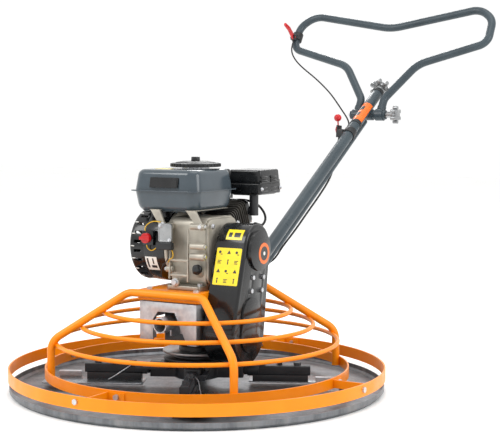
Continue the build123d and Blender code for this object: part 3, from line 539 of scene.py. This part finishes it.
def round_edges(piece, wanted, radius, steps=6):
    """Rounds the wanted edges to a radius in millimetres."""
    pick_edges(piece, wanted)
    bpy.ops.mesh.bevel(offset=radius * MM, segments=steps, affect="EDGES", clamp_overlap=True)
    bpy.ops.object.mode_set(mode="OBJECT")


def upright(a, b):
    """True for an edge that runs mostly along Z."""
    return abs(a.z - b.z) > 0.8 * (a - b).length


def taper(piece, wanted, scale, move=(0, 0, 0)):
    """Scales the wanted faces about their middle, and moves them."""
    pick(piece, wanted)
    bpy.ops.transform.resize(value=scale)
    bpy.ops.transform.translate(value=Vector(move) * MM)
    bpy.ops.object.mode_set(mode="OBJECT")


def smooth(piece, angle=40):
    only(piece)
    bpy.ops.object.shade_smooth_by_angle(angle=radians(angle))
    return piece


def film(piece, wanted, thick=0.5):
    """Keeps only the wanted faces of a piece and gives them the thickness of a film."""
    pick(piece, wanted)
    bpy.ops.mesh.select_all(action="INVERT")
    bpy.ops.mesh.delete(type="FACE")
    bpy.ops.object.mode_set(mode="OBJECT")
    modify(piece, "SOLIDIFY", thickness=thick * MM, offset=1)
    return smooth(piece)


def wire(name, points, radius):
    """A bent wire or cable on a NURBS line through its route, as a mesh, and the line's own points."""
    clear_selection()
    curve = bpy.data.curves.new(name, "CURVE")
    curve.dimensions = "3D"
    curve.resolution_u = 12
    spline = curve.splines.new("NURBS")
    spline.points.add(len(points) - 1)
    for point, place in zip(spline.points, points):
        point.co = (*(Vector(place) * MM), 1)
    spline.order_u = 3
    spline.use_endpoint_u = True
    piece = bpy.data.objects.new(name, curve)
    bpy.context.collection.objects.link(piece)
    line = bpy.data.meshes.new_from_object(piece)
    path = [tuple(vertex.co) for vertex in line.vertices]
    curve.bevel_depth = radius * MM
    curve.bevel_resolution = 3
    curve.use_fill_caps = True
    only(piece)
    bpy.ops.object.convert(target="MESH")
    return bpy.context.object, path


def show(piece, paint, body="root", slot=None, *replaced):
    """Finishes a piece with the named material; the slot, which follows the material unless it is given, is
    passed on but not used.
    """
    return finish(piece, materials[paint], body, slot or PAINT_SLOTS[paint], *replaced)


PAINT_SLOTS = {
    "guard": "orange_paint", "mast": "grey_paint", "tank": "tank_paint", "covers": "black_paint",
    "pan": "pan_steel", "zinc": "zinc_plate", "blade": "zinc_plate", "black_iron": "black_iron",
    "grey_iron": "grey_iron", "die_cast": "cast_aluminium", "fin_shaded_cast": "cast_aluminium",
    "wheel": "cast_aluminium", "turned": "bright_steel", "bronze": "bronze",
    "nylon": "black_plastic", "rubber": "belt_rubber", "red": "red_plastic", "white": "black_paint",
    "yellow": "black_paint", "print": "black_paint", "orange_film": "black_paint", "wire": "belt_rubber",
}


def bolt_row(name, places, towards, across, body="root", paint="zinc", washer=True):
    """Bolts of one size that look the same way, as one piece."""
    bolts = [bolt(at, towards, across, across * 0.42, washer) for at in places]
    return show(joined(name, bolts), paint, body)


# ---- fuel tank -------------------------------------------------------------------------
TANK_SEAM = 519.0
TANK_TOP = 573.5
TANK_FLOOR = 464.0
TANK_SIDES = (-146.0, 66.0, -107.0, 107.0)
CAP_AT = (-18.0, 22.0)
CAP_R = 67.0


def tank_half(name, z_from, z_to, taper_in, corner, edge):
    """One pressed half of the tank, drawn in from the seam to its flat face."""
    x0, x1, y0, y1 = TANK_SIDES
    lip = bpy.context.scene.trowel_sizes.tank_flange / MM
    half = slab(name, x0 + lip, x1 - lip, y0 + lip, y1 - lip, min(z_from, z_to), max(z_from, z_to))
    up = 1 if z_to > z_from else -1
    wide, deep = x1 - x0 - 2 * lip, y1 - y0 - 2 * lip
    taper(half, lambda c, n: n.z * up > 0.9, (1 - 2 * taper_in / wide, 1 - 2 * taper_in / deep, 1))
    round_edges(half, upright, corner, 10)
    round_edges(half, lambda a, b: abs(a.z - z_to) < 0.5 and abs(b.z - z_to) < 0.5, edge, 7)
    return smooth(half, 50)


class TROWEL_OT_tank(bpy.types.Operator):
    """Press the two tank halves, roll their seam, and screw on the ribbed cap"""

    bl_idname = "trowel.tank"
    bl_label = "Fuel tank"

    def execute(self, context):
        x0, x1, y0, y1 = TANK_SIDES
        upper = tank_half("tank_upper", TANK_SEAM, TANK_TOP, 7, 30, 14)
        lower = tank_half("tank_lower", TANK_SEAM, TANK_FLOOR, 8, 30, 20)
        seam = slab("tank_seam", x0, x1, y0, y1, TANK_SEAM - 1.4, TANK_SEAM + 1.4)
        round_edges(seam, upright, 24, 8)
        soften(seam, 0.9, 3)
        show(joined("fuel_tank_shell", [upper, lower, seam]), "tank", "root", None, "fuel_tank")
        self.make_plate()
        self.make_cap(context.scene.trowel_sizes.grip_ribs)
        note = slab("tank_note", -98, -52, -52, -18, TANK_TOP - 0.2, TANK_TOP + 0.5)
        round_edges(note, upright, 4, 3)
        show(smooth(note), "yellow")
        return {"FINISHED"}

    def make_plate(self):
        plate = slab("tank_plate", -80, 6, -105.6, -98, 528, 554)
        taper(plate, lambda c, n: n.z > 0.9, (1, 1, 1), (0, 5.5, 0))
        round_edges(plate, lambda a, b: abs(a.y - b.y) > 4 and abs(a.x - b.x) < 1, 3, 4)
        inset(plate, lambda c, n: n.y < -0.9, 1.6, -0.5)
        show(smooth(plate), "covers")

    def make_cap(self, ribs):
        x, y = CAP_AT
        neck = drum("tank_neck", (x, y, TANK_TOP - 1), (x, y, TANK_TOP + 7), 36, 48)
        show(smooth(neck), "turned")
        skirt = drum("cap_skirt", (x, y, TANK_TOP + 5), (x, y, TANK_TOP + 14), CAP_R - 2, 2 * ribs)
        middle = Vector((x, y, 0))

        def every_other_side(centre, normal):
            angle = (centre - middle).to_2d().angle_signed(Vector((1, 0))) + pi
            side = round(angle / (2 * pi) * 2 * ribs - 0.5)
            return abs(normal.z) < 0.5 and side % 2 == 0

        pick(skirt, every_other_side)
        bpy.ops.mesh.inset(thickness=0.6 * MM, use_individual=True)
        bpy.ops.mesh.extrude_region_shrink_fatten(TRANSFORM_OT_shrink_fatten={"value": 1.6 * MM})
        bpy.ops.object.mode_set(mode="OBJECT")
        dome = drum("cap_dome", (x, y, TANK_TOP + 14), (x, y, TANK_TOP + 18.5), CAP_R - 5, 72, 34)
        inset(dome, lambda c, n: n.z > 0.9, 10, 1.2)
        soften(dome, 1.2, 3)
        knob = drum("cap_knob", (x, y, TANK_TOP + 18), (x, y, TANK_TOP + 30.8), 12.5, 8)
        taper(knob, lambda c, n: n.z > 0.9, (0.92, 0.92, 1))
        soften(knob, 1.2, 3)
        show(joined("fuel_cap_shell", [smooth(skirt, 30), dome, knob]), "nylon", "fuel_cap", None, "fuel_cap")
        band = ring("fuel_cap_band", (x, y, TANK_TOP + 14), (0, 0, 1), CAP_R - 4, 1.1, 96)
        show(smooth(band), "wheel", "fuel_cap")


# ---- belt cover labels -----------------------------------------------------------------
WALL_FOOT = Vector((0, -121.7, 187.6))    # where the flat front wall leaves the lower round end
WALL_UP = Vector((0, 0.283, 0.959))
WALL_OUT = Vector((0, -0.959, 0.283))
COVER_TOP = (0.0, 374.0)                  # middle of the upper round end, y and z
COVER_TOP_R = 64.0
COVER_FACE = 192.0
CRANK_Z = 374.0                           # height of the crankshaft
FAN_R = 96.0
PRINT_DEPTH = (0.5, 0.85)                 # how far out the ink of the cover label starts and ends


def on_wall(x, up, out):
    """A point on the belt cover's front wall, in millimetres."""
    return Vector((x, 0, 0)) + WALL_FOOT + WALL_UP * up + WALL_OUT * out


def wall_film(name, x0, x1, up0, up1, out0, out1, corner=0.0):
    """A thin rectangle that lies on the cover's front wall."""
    piece = slab(name, x0, x1, up0, up1, out0, out1)
    if corner:
        round_edges(piece, upright, corner, 4)
    turn = Matrix((Vector((1, 0, 0)), WALL_UP, WALL_OUT)).transposed().to_4x4()
    piece.data.transform(Matrix.Translation(WALL_FOOT * MM) @ turn)
    return piece


def printed_bar(x0, x1, up0, up1):
    return wall_film("bar", x0, x1, up0, up1, *PRINT_DEPTH)


def printed_dot(x, up, radius, sides):
    inner, outer = PRINT_DEPTH
    return drum("dot", on_wall(x, up, inner), on_wall(x, up, outer), radius, sides)


def pictogram(kind, x, up):
    """A small printed sign: a figure, a triangle, three lines or a wheel, as plain bars and dots."""
    if kind == 0:
        return [printed_dot(x, up + 5, 2.2, 16), printed_bar(x - 1.4, x + 1.4, up - 6, up + 2.4)]
    if kind == 1:
        return [printed_dot(x, up, 6.4, 3)]
    if kind == 2:
        return [printed_bar(x - 5.5, x + 5.5, up + 2.5, up + 4.3),
                printed_bar(x - 5.5, x + 2.5, up - 1, up + 0.8),
                printed_bar(x - 5.5, x + 4.5, up - 4.5, up - 2.7)]
    return [printed_dot(x - 2, up + 1, 3.6, 20), printed_bar(x, x + 5.6, up - 5.5, up - 3.4)]


class TROWEL_OT_labels(bpy.types.Operator):
    """Stick the plain warning films on the belt cover, the fan housing and the mast"""

    bl_idname = "trowel.labels"
    bl_label = "Labels"

    def execute(self, context):
        show(wall_film("cover_label", 102, 174, 105, 200, 0, 0.5, 3), "yellow")
        signs = []
        for row in range(4):
            for column in range(3):
                signs += pictogram((row + 2 * column) % 4, 114 + 24 * column, 116 + 24 * row)
        show(joined("cover_label_print", signs), "print")
        self.top_label()
        self.boss_sticker()
        self.fan_label()
        self.mast_label()
        return {"FINISHED"}

    def top_label(self):
        y, z = COVER_TOP
        roll = drum("cover_top_label", (122, y, z), (168, y, z), COVER_TOP_R + 0.1, 120)

        def in_sector(low, high):
            return lambda c, n: abs(n.x) < 0.5 and c.y < y and low < c.z - z < high

        show(film(roll, in_sector(26, 50)), "yellow")
        for number, (x0, x1) in enumerate(((128, 138), (144, 162))):
            mark = drum(f"cover_top_mark_{number + 1}", (x0, y, z), (x1, y, z), COVER_TOP_R + 0.6, 120)
            show(film(mark, in_sector(33, 43), 0.3), "print")

    def boss_sticker(self):
        y, z = 14, 362
        for name, reach, radius, paint in (("boss_sticker", 0.5, 27, "orange_film"),
                                           ("boss_sticker_field", 0.8, 18, "print"),
                                           ("boss_sticker_dot", 1.1, 5, "white")):
            disc = drum(name, (COVER_FACE - 0.2, y, z), (COVER_FACE + reach, y, z), radius, 48)
            show(smooth(disc), paint)

    def fan_label(self):
        def band(low, high):
            return lambda c, n: abs(n.x) < 0.5 and c.y < 0 and low < c.z - CRANK_Z < high

        roll = drum("fan_label", (-101, 0, CRANK_Z), (-66, 0, CRANK_Z), FAN_R + 0.1, 150)
        show(film(roll, band(-62, -24)), "white")
        marks = ((-97, -92, -56, -30), (-86, -70, -54, -50), (-80, -76, -46, -30))
        for number, (x0, x1, low, high) in enumerate(marks):
            mark = drum(f"fan_mark_{number + 1}", (x0, 0, CRANK_Z), (x1, 0, CRANK_Z), FAN_R + 0.6, 150)
            show(film(mark, band(low, high), 0.3), "print")

    def mast_label(self):
        start, end = along_mast(1056), along_mast(1156)
        axis = (end - start).normalized()
        outward = Vector((-0.35, -0.518, 0.8554)).normalized()

        def wraps(limit):
            return lambda c, n: abs(n.dot(axis)) < 0.5 and n.dot(outward) > limit

        show(film(drum("mast_label", start, end, MAST_R + 0.05, 64), wraps(-0.25)), "orange_film")
        for number, (low, high, limit) in enumerate(((1078, 1098, 0.86), (1112, 1134, 0.8))):
            mark = drum(f"mast_mark_{number + 1}", along_mast(low), along_mast(high), MAST_R + 0.55, 64)
            show(film(mark, wraps(limit), 0.3), "print")


MAST_R = 17.5
MAST_FOOT = Vector((0, 70, 142))
MAST_UP = (Vector((0, 1145, 793)) - MAST_FOOT).normalized()


def along_mast(distance):
    return MAST_FOOT + MAST_UP * distance


# ---- engine ----------------------------------------------------------------------------
HEAD_TILT = radians(25)                   # the cylinder leans back by this above level


def round_crank(x, radius, angle):
    """A point on a circle about the crankshaft, its angle in degrees above +Y."""
    return Vector((x, radius * cos(radians(angle)), CRANK_Z + radius * sin(radians(angle))))


class TROWEL_OT_engine(bpy.types.Operator):
    """Add the castings' ribs, bosses and bolts, the igniter, the tank arms and the wires"""

    bl_idname = "trowel.engine"
    bl_label = "Engine"

    def execute(self, context):
        self.crankcase()
        self.ignition()
        self.tank_arms()
        self.exhaust()
        self.recoil()
        self.head()
        return {"FINISHED"}

    def crankcase(self):
        front = -98
        parts = []
        for z, radius in ((432, 8), (382, 8), (356, 9.5)):
            parts.append(soften(drum("boss", (42, front + 1, z), (84, front + 1, z), radius, 28), 1.4, 3))
        for x, z0, z1 in ((-21, 296, 430), (34, 290, 424)):
            rib = slab("rib", x - 2, x + 2, front - 4, front + 4, z0, z1)
            taper(rib, lambda c, n: n.z > 0.9, (0.7, 0.5, 1), (0, 1.5, 0))
            parts.append(soften(rib, 1.2, 3))
        for z in (344, 306):
            parts.append(soften(slab("rib", -20, 34, front - 1.6, front + 4, z - 3, z + 3), 1.4, 3))
        drain = drum("boss", (-2, front + 2, 288), (-2, front - 5, 288), 12, 28)
        parts.append(soften(drain, 1.2, 3))
        lip = drum("lip", (-40, 0, CRANK_Z), (-31, 0, CRANK_Z), 97.5, 72)
        parts.append(soften(lip, 1.6, 3))
        lugs = [round_crank(-41, 97, angle) for angle in (35, 145, 215, 325)]
        for lug in lugs:
            parts.append(soften(drum("lug", lug, lug + Vector((19, 0, 0)), 8.5, 24), 1.2, 3))
        parts.append(soften(slab("pad", -26, 66, -102, -90, 270, 280), 2.0, 3))
        show(joined("crankcase_ribs", parts), "die_cast")
        bolt_row("flange_bolts", lugs, (-1, 0, 0), 10)
        bolt_row("boss_bolts", [(84, front + 1, z) for z in (432, 382, 356)], (1, 0, 0), 9, washer=False)
        bolt_row("drain_plug", [(-2, front - 5, 288)], (0, -1, 0), 13)
        bolt_row("cover_side_bolts", [(88, y, z) for y, z in ((-66, 300), (58, 300), (-66, 432), (58, 432))],
                 (1, 0, 0), 9)
        dip = [soften(drum("dip", (60, -104, 318), (66, -112, 326), 8, 8), 0.8, 2)]
        show(joined("dipstick", dip), "nylon")

    def ignition(self):
        plate = slab("igniter_plate", -51, -11, -106, -99, 389, 437)
        round_edges(plate, lambda a, b: abs(a.y - b.y) > 4, 6, 5)
        inset(plate, lambda c, n: n.y < -0.9, 3.5, -1.5)
        show(soften(plate, 0.8, 2), "wheel")
        box = slab("oil_alarm_box", -55, -8, -113, -97, 370, 389)
        show(soften(box, 2.4, 3), "nylon")
        bolt_row("igniter_screws", [(-45, -106, 431), (-17, -106, 395)], (0, -1, 0), 7)
        routes = {
            "switch_wire_upper": [(-46, -103, 440), (-66, -101, 443), (-88, -99, 434), (-97, -101, 422),
                                  (-88, -106, 410), (-84, -107, 402)],
            "switch_wire_lower": [(-86, -107, 388), (-90, -103, 374), (-80, -98, 364), (-66, -100, 368),
                                  (-54, -104, 378)],
            "alarm_wire": [(-20, -104, 371), (-16, -108, 356), (-24, -109, 340), (-38, -106, 330),
                           (-46, -100, 312), (-50, -92, 296)],
        }
        for name, points in routes.items():
            piece, _ = wire(name, points, 1.3)
            show(smooth(piece), "rubber" if name == "alarm_wire" else "wire")
        loop = [(-12, -104, 371), (-4, -107, 362), (-6, -108, 350), (-18, -106, 346), (-22, -103, 338)]
        clip, _ = wire("alarm_wire_loop", loop, 1.3)
        show(smooth(clip), "wire")

    def tank_arms(self):
        arms = []
        for x, lean in ((-66, 24), (42, 30)):
            arm = slab("arm", x - 15, x + 15, -99, -92, 428, 471.5)
            taper(arm, lambda c, n: n.z < -0.9, (0.62, 1, 1), (lean, 0, 0))
            soften(arm, 2.0, 3)
            shelf = slab("shelf", x - 16, x + 16, -99, 60, 470.4, 471.7)
            gusset = slab("gusset", x - 2, x + 2, -98, -64, 452, 471)
            taper(gusset, lambda c, n: n.z < -0.9, (1, 0.2, 1), (0, -13, 0))
            eye = drum("eye", (x + lean, -100, 432), (x + lean, -90, 432), 9, 24)
            arms += [arm, soften(shelf, 0.4, 1), soften(gusset, 0.8, 2), soften(eye, 1.2, 3)]
        show(joined("tank_arms", arms), "die_cast", "root", "zinc_plate", "tank_brackets")
        bolt_row("tank_arm_bolts", [(-42, -100, 432), (72, -100, 432)], (0, -1, 0), 10)

    def exhaust(self):
        lower = slab("guard_lower", 14, 118, 128, 242, 504, 531)
        round_edges(lower, upright, 9, 6)
        upper = slab("guard_upper", 15.5, 116.5, 129.5, 240.5, 533, 568)
        taper(upper, lambda c, n: n.z > 0.9, (0.95, 0.95, 1))
        round_edges(upper, upright, 9, 6)
        groove = slab("guard_groove", 17, 115, 131, 239, 526, 540)
        shells = [soften(lower, 2.2, 4), soften(upper, 5, 5), groove]
        louvre_shades = []
        for y in (150, 201):
            for z in (540, 549.5):
                hood = drum("hood", (114.5, y - 16, z), (114.5, y + 16, z), 3.4, 24)
                shells.append(soften(hood, 0.8, 2))
                # each louvre's slit is a black slab under its hood: painted shade for the dark opening
                louvre_shades.append(slab("louvre_shade", 114, 118.3, y - 15, y + 15, z - 5.4, z - 3.2))
            for z in (512, 521):
                shells.append(soften(drum("hood", (116, y - 16, z), (116, y + 16, z), 2.6, 24), 0.8, 2))
        show(joined("muffler_guard_shell", shells), "covers", "root", None, "muffler_guard")
        show(joined("muffler_guard_louvre_shade", louvre_shades), "print")
        bolt_row("muffler_guard_screws", [(118, 134, 517.5), (118, 236, 517.5)], (1, 0, 0), 7)

    def recoil(self):
        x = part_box("recoil_cover")[0].x / MM
        hub = drum("recoil_hub", (x + 1, 0, CRANK_Z), (x, 0, CRANK_Z), 30, 48)
        inset(hub, lambda c, n: n.x < -0.9, 4, -0.6)
        show(soften(hub, 0.6, 2), "covers")
        bolt_row("recoil_bolts", [round_crank(x + 2, 80, angle) for angle in (90, 210, 330)], (-1, 0, 0), 8)
        # white dashes every 20 degrees round the recoil rim: painted highlights that stand in for glints on
        # its ribs
        marks = []
        for angle in range(0, 360, 20):
            start = round_crank(x + 8, 94.2, angle)
            marks.append(drum("mark", start, start + Vector((10, 0, 0)), 1.3, 12))
        show(joined("recoil_rim_glints", marks), "white")

    def head(self):
        tilt = Vector((0, cos(HEAD_TILT), sin(HEAD_TILT)))
        side = Vector((0, -sin(HEAD_TILT), cos(HEAD_TILT)))
        middle = Vector((22, 0, CRANK_Z)) + tilt * 190
        places = [middle + Vector((dx, 0, 0)) + side * ds for dx in (-30, 30) for ds in (-28, 28)]
        bolt_row("rocker_bolts", places, tilt, 9)
        route = [(90, 170, 414), (98, 186, 420), (92, 204, 446), (60, 206, 478), (10, 190, 486),
                 (-24, 150, 474), (-34, 110, 462)]
        lead, _ = wire("plug_lead", route, 3.2)
        show(smooth(lead), "rubber")


# ---- rotor -----------------------------------------------------------------------------
# the spring clip beside each arm: along the arm, beside it and up
ARM_CLIP = ((170, 13, 60), (178, 22, 56), (196, 26, 44), (214, 30, 32), (230, 36, 24))


class TROWEL_OT_rotor(bpy.types.Operator):
    """Add the bright thrust disc, and the square bolts, sleeves and spring clips of the arms"""

    bl_idname = "trowel.rotor"
    bl_label = "Rotor"

    def execute(self, context):
        disc = drum("thrust_disc", (0, 0, 97), (0, 0, 103), 90, 96)
        show(soften(disc, 1.2, 3), "wheel", "collar")
        joints = frame["record"]["behaviour"]["joints"]
        for number in ARM_NUMBERS:
            joint = next(row for row in joints if row["name"] == f"arm_tilt_{number}")
            out = -Vector(joint["axis"])
            side = Vector((0, 0, 1)).cross(out)
            at = out * 216 + side * 7 + Vector((0, 0, 61.5))
            fittings = [soften(drum("head", at, at + Vector((0, 0, 8)), 7.5, 4), 0.8, 2),
                        drum("collar", at, at + Vector((0, 0, 1.6)), 9, 24)]
            foot = out * 132 + Vector((0, 0, 50))
            fittings.append(soften(drum("sleeve", foot, foot + out * 30, 16.5, 32), 1.4, 3))
            show(joined(f"arm_fittings_{number}", fittings), "black_iron", f"arm_{number}")
            route = [out * along + side * beside + Vector((0, 0, z)) for along, beside, z in ARM_CLIP]
            clip, _ = wire(f"arm_clip_{number}", route, 1.6)
            show(smooth(clip), "turned", f"arm_{number}")
        return {"FINISHED"}


# ---- mast and handle ---------------------------------------------------------------------
KILL_CABLE = [(-352.0, 1202.8, 977.3), (-350.0, 1185.0, 957.0), (-340.0, 1165.0, 934.0),
              (-318.0, 1144.0, 911.0), (-288.0, 1123.0, 889.0), (-251.0, 1102.0, 867.0),
              (-209.0, 1082.0, 843.0), (-167.0, 1063.0, 815.0), (-129.0, 1045.0, 786.0),
              (-97.0, 1026.0, 757.0), (-69.0, 1009.0, 730.0), (-46.0, 995.0, 708.0),
              (-31.0, 980.0, 692.0), (-23.0, 964.0, 682.0)]

THROTTLE_CABLE = [(-34.0, 915.0, 644.4), (-28.0, 875.1, 594.5), (-12.0, 831.0, 551.4), (2.0, 772.1, 513.4),
                  (3.0, 693.6, 463.5), (6.0, 614.1, 421.2), (4.0, 542.9, 374.6), (4.0, 455.0, 328.0),
                  (1.0, 424.0, 300.0), (-8.0, 386.0, 286.0), (-24.0, 346.0, 284.0), (-46.0, 306.0, 290.0),
                  (-66.0, 268.0, 302.0), (-80.0, 232.0, 320.0), (-86.0, 200.0, 342.0), (-84.0, 176.0, 362.0),
                  (-76.0, 156.0, 382.0), (-68.0, 145.0, 392.5)]


class TROWEL_OT_handle(bpy.types.Operator):
    """Run the two cables, and add the clamps, screws and caps of the mast"""

    bl_idname = "trowel.handle"
    bl_label = "Mast and handle"

    def execute(self, context):
        kill, path = wire("kill_cable_line", KILL_CABLE, 2.5)
        finish_cable(kill, "kill_cable")
        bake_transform(kill)
        throttle, path = wire("throttle_cable_line", THROTTLE_CABLE, 3.0)
        finish_cable(throttle, "throttle_cable")
        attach(throttle, "root")
        self.mast_fittings()
        return {"FINISHED"}

    def mast_fittings(self):
        below = Vector((0, MAST_UP.z, -MAST_UP.y))
        top = along_mast(1240)
        cap = soften(drum("mast_cap", top, top + MAST_UP * 14, 19.5, 48), 1.5, 3)
        show(cap, "nylon")
        clamp = along_mast(1047)
        parts = [soften(drum("clamp", clamp - MAST_UP * 7, clamp + MAST_UP * 7, 19.2, 48), 0.8, 2)]
        grip = clamp + Vector((-22, 0, 0)) + below * 2
        parts.append(soften(drum("barrel", grip - MAST_UP * 10, grip + MAST_UP * 14, 5, 24), 0.8, 2))
        show(joined("kill_cable_clamp", parts), "nylon")
        lever = Vector((-44, 928.2, 667.8))
        spring = [ring("coil", lever - Vector((4 + 1.6 * turn, 0, 0)), (1, 0, 0), 5.6, 0.8, 24)
                  for turn in range(3)]
        spring.append(bolt(lever + Vector((-3.6, 0, 0)), (-1, 0, 0), 10, 4))
        show(joined("throttle_pivot_fittings", spring), "zinc")
        bolt_row("kill_pivot_bolt", [(-362.5, 1204.6, 989.1)], (-1, 0, 0), 8, "handle")
        bolt_row("clamp_tie_bolt", [(-63, 1065, 716)], (-1, 0, 0), 13)


def finish_cable(piece, node):
    piece.data.materials.clear()
    piece.data.materials.append(materials["rubber"])
    smooth(piece, 60)
    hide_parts(node)


class TROWEL_OT_stage(bpy.types.Operator):
    """Put the trowel on a pale studio floor, under soft lights and in front of the camera"""

    bl_idname = "trowel.stage"
    bl_label = "Stage"

    def execute(self, context):
        clear_selection()
        bpy.ops.mesh.primitive_plane_add(size=24, location=(0, 0, 0))
        floor = named("studio_floor")
        floor.data.materials.append(floor_paint())
        world = bpy.data.worlds.new("Studio")
        context.scene.world = world
        world.use_nodes = True
        sky = world.node_tree.nodes["Background"]
        sky.inputs["Color"].default_value = (1.0, 1.0, 1.0, 1)
        sky.inputs["Strength"].default_value = 1.02
        for name, at, size, power, target in STUDIO_LIGHTS:
            light = bpy.data.lights.new(name, "AREA")
            light.shape = "DISK"
            light.size = size
            light.energy = power
            lamp = bpy.data.objects.new(name, light)
            context.collection.objects.link(lamp)
            lamp.location = at
            lamp.rotation_euler = (Vector(target) - Vector(at)).to_track_quat("-Z", "Y").to_euler()
        camera = bpy.data.cameras.new("Camera")
        camera.lens = 93.6
        camera.sensor_width = 36
        camera.shift_x, camera.shift_y = 0.0517, -0.0505
        camera.clip_end = 60
        shot = bpy.data.objects.new("Camera", camera)
        context.collection.objects.link(shot)
        shot.location = (1.7929, -2.8629, 0.7054)
        shot.rotation_euler = (radians(86.69), 0, radians(30.86))
        context.scene.camera = shot
        context.scene.view_settings.view_transform = "Standard"
        return {"FINISHED"}


# name, place, size, power and what the light points at
STUDIO_LIGHTS = (
    ("key_softbox", (-1.6, -2.6, 3.0), 2.0, 62, (0, 0, 0.3)),
    ("top_softbox", (0.6, 0.4, 3.6), 2.6, 26, (0, 0, 0)),
    ("side_softbox", (3.0, 0.4, 1.8), 1.6, 26, (0, 0, 0.4)),
    ("back_softbox", (-1.4, 3.0, 2.4), 1.4, 30, (0, 0, 0.5)),
)


def floor_paint():
    """Matt white studio paint, rolled on: almost even, very faintly mottled."""
    material, tree, shader, place = new_material("White studio floor")
    mottle = spread(tree, noise(tree, place, 400), 0, 1)
    tree.links.new(blended(tree, mottle, linear("#FEFEFD"), linear("#FCFCFB")), shader.inputs["Base Color"])
    shader.inputs["Roughness"].default_value = 0.75
    shader.inputs["Specular IOR Level"].default_value = 0.2
    return material


STEPS = (TROWEL_OT_carry, TROWEL_OT_tank, TROWEL_OT_engine, TROWEL_OT_labels, TROWEL_OT_rotor,
         TROWEL_OT_handle, TROWEL_OT_stage)


class TROWEL_PT_panel(bpy.types.Panel):
    """Lists the trowel's sizes and colours, and the steps that build it"""

    bl_idname = "TROWEL_PT_panel"
    bl_label = "Power trowel"
    bl_space_type = "VIEW_3D"
    bl_region_type = "UI"
    bl_category = "Power trowel"

    def draw(self, context):
        for group in (context.scene.trowel_colours, context.scene.trowel_sizes):
            box = self.layout.box()
            for key in group.__annotations__:
                box.prop(group, key)
        for step in STEPS:
            self.layout.operator(step.bl_idname)


GROUPS = (TrowelColours, TrowelSizes)


def register():
    for item in GROUPS + STEPS + (TROWEL_PT_panel,):
        bpy.utils.register_class(item)
    bpy.types.Scene.trowel_colours = bpy.props.PointerProperty(type=TrowelColours)
    bpy.types.Scene.trowel_sizes = bpy.props.PointerProperty(type=TrowelSizes)


def unregister():
    del bpy.types.Scene.trowel_colours
    del bpy.types.Scene.trowel_sizes
    for item in reversed(GROUPS + STEPS + (TROWEL_PT_panel,)):
        bpy.utils.unregister_class(item)


def run_step(step):
    """Calls an operator by its bl_idname, and stops if it didn't finish."""
    module, name = step.bl_idname.split(".")
    if getattr(getattr(bpy.ops, module), name)() != {"FINISHED"}:
        raise RuntimeError(f"{step.bl_label} didn't finish")


def main():
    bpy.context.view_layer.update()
    register()
    make_materials()
    for step in STEPS:
        run_step(step)


if __name__ == "__main__":
    main()
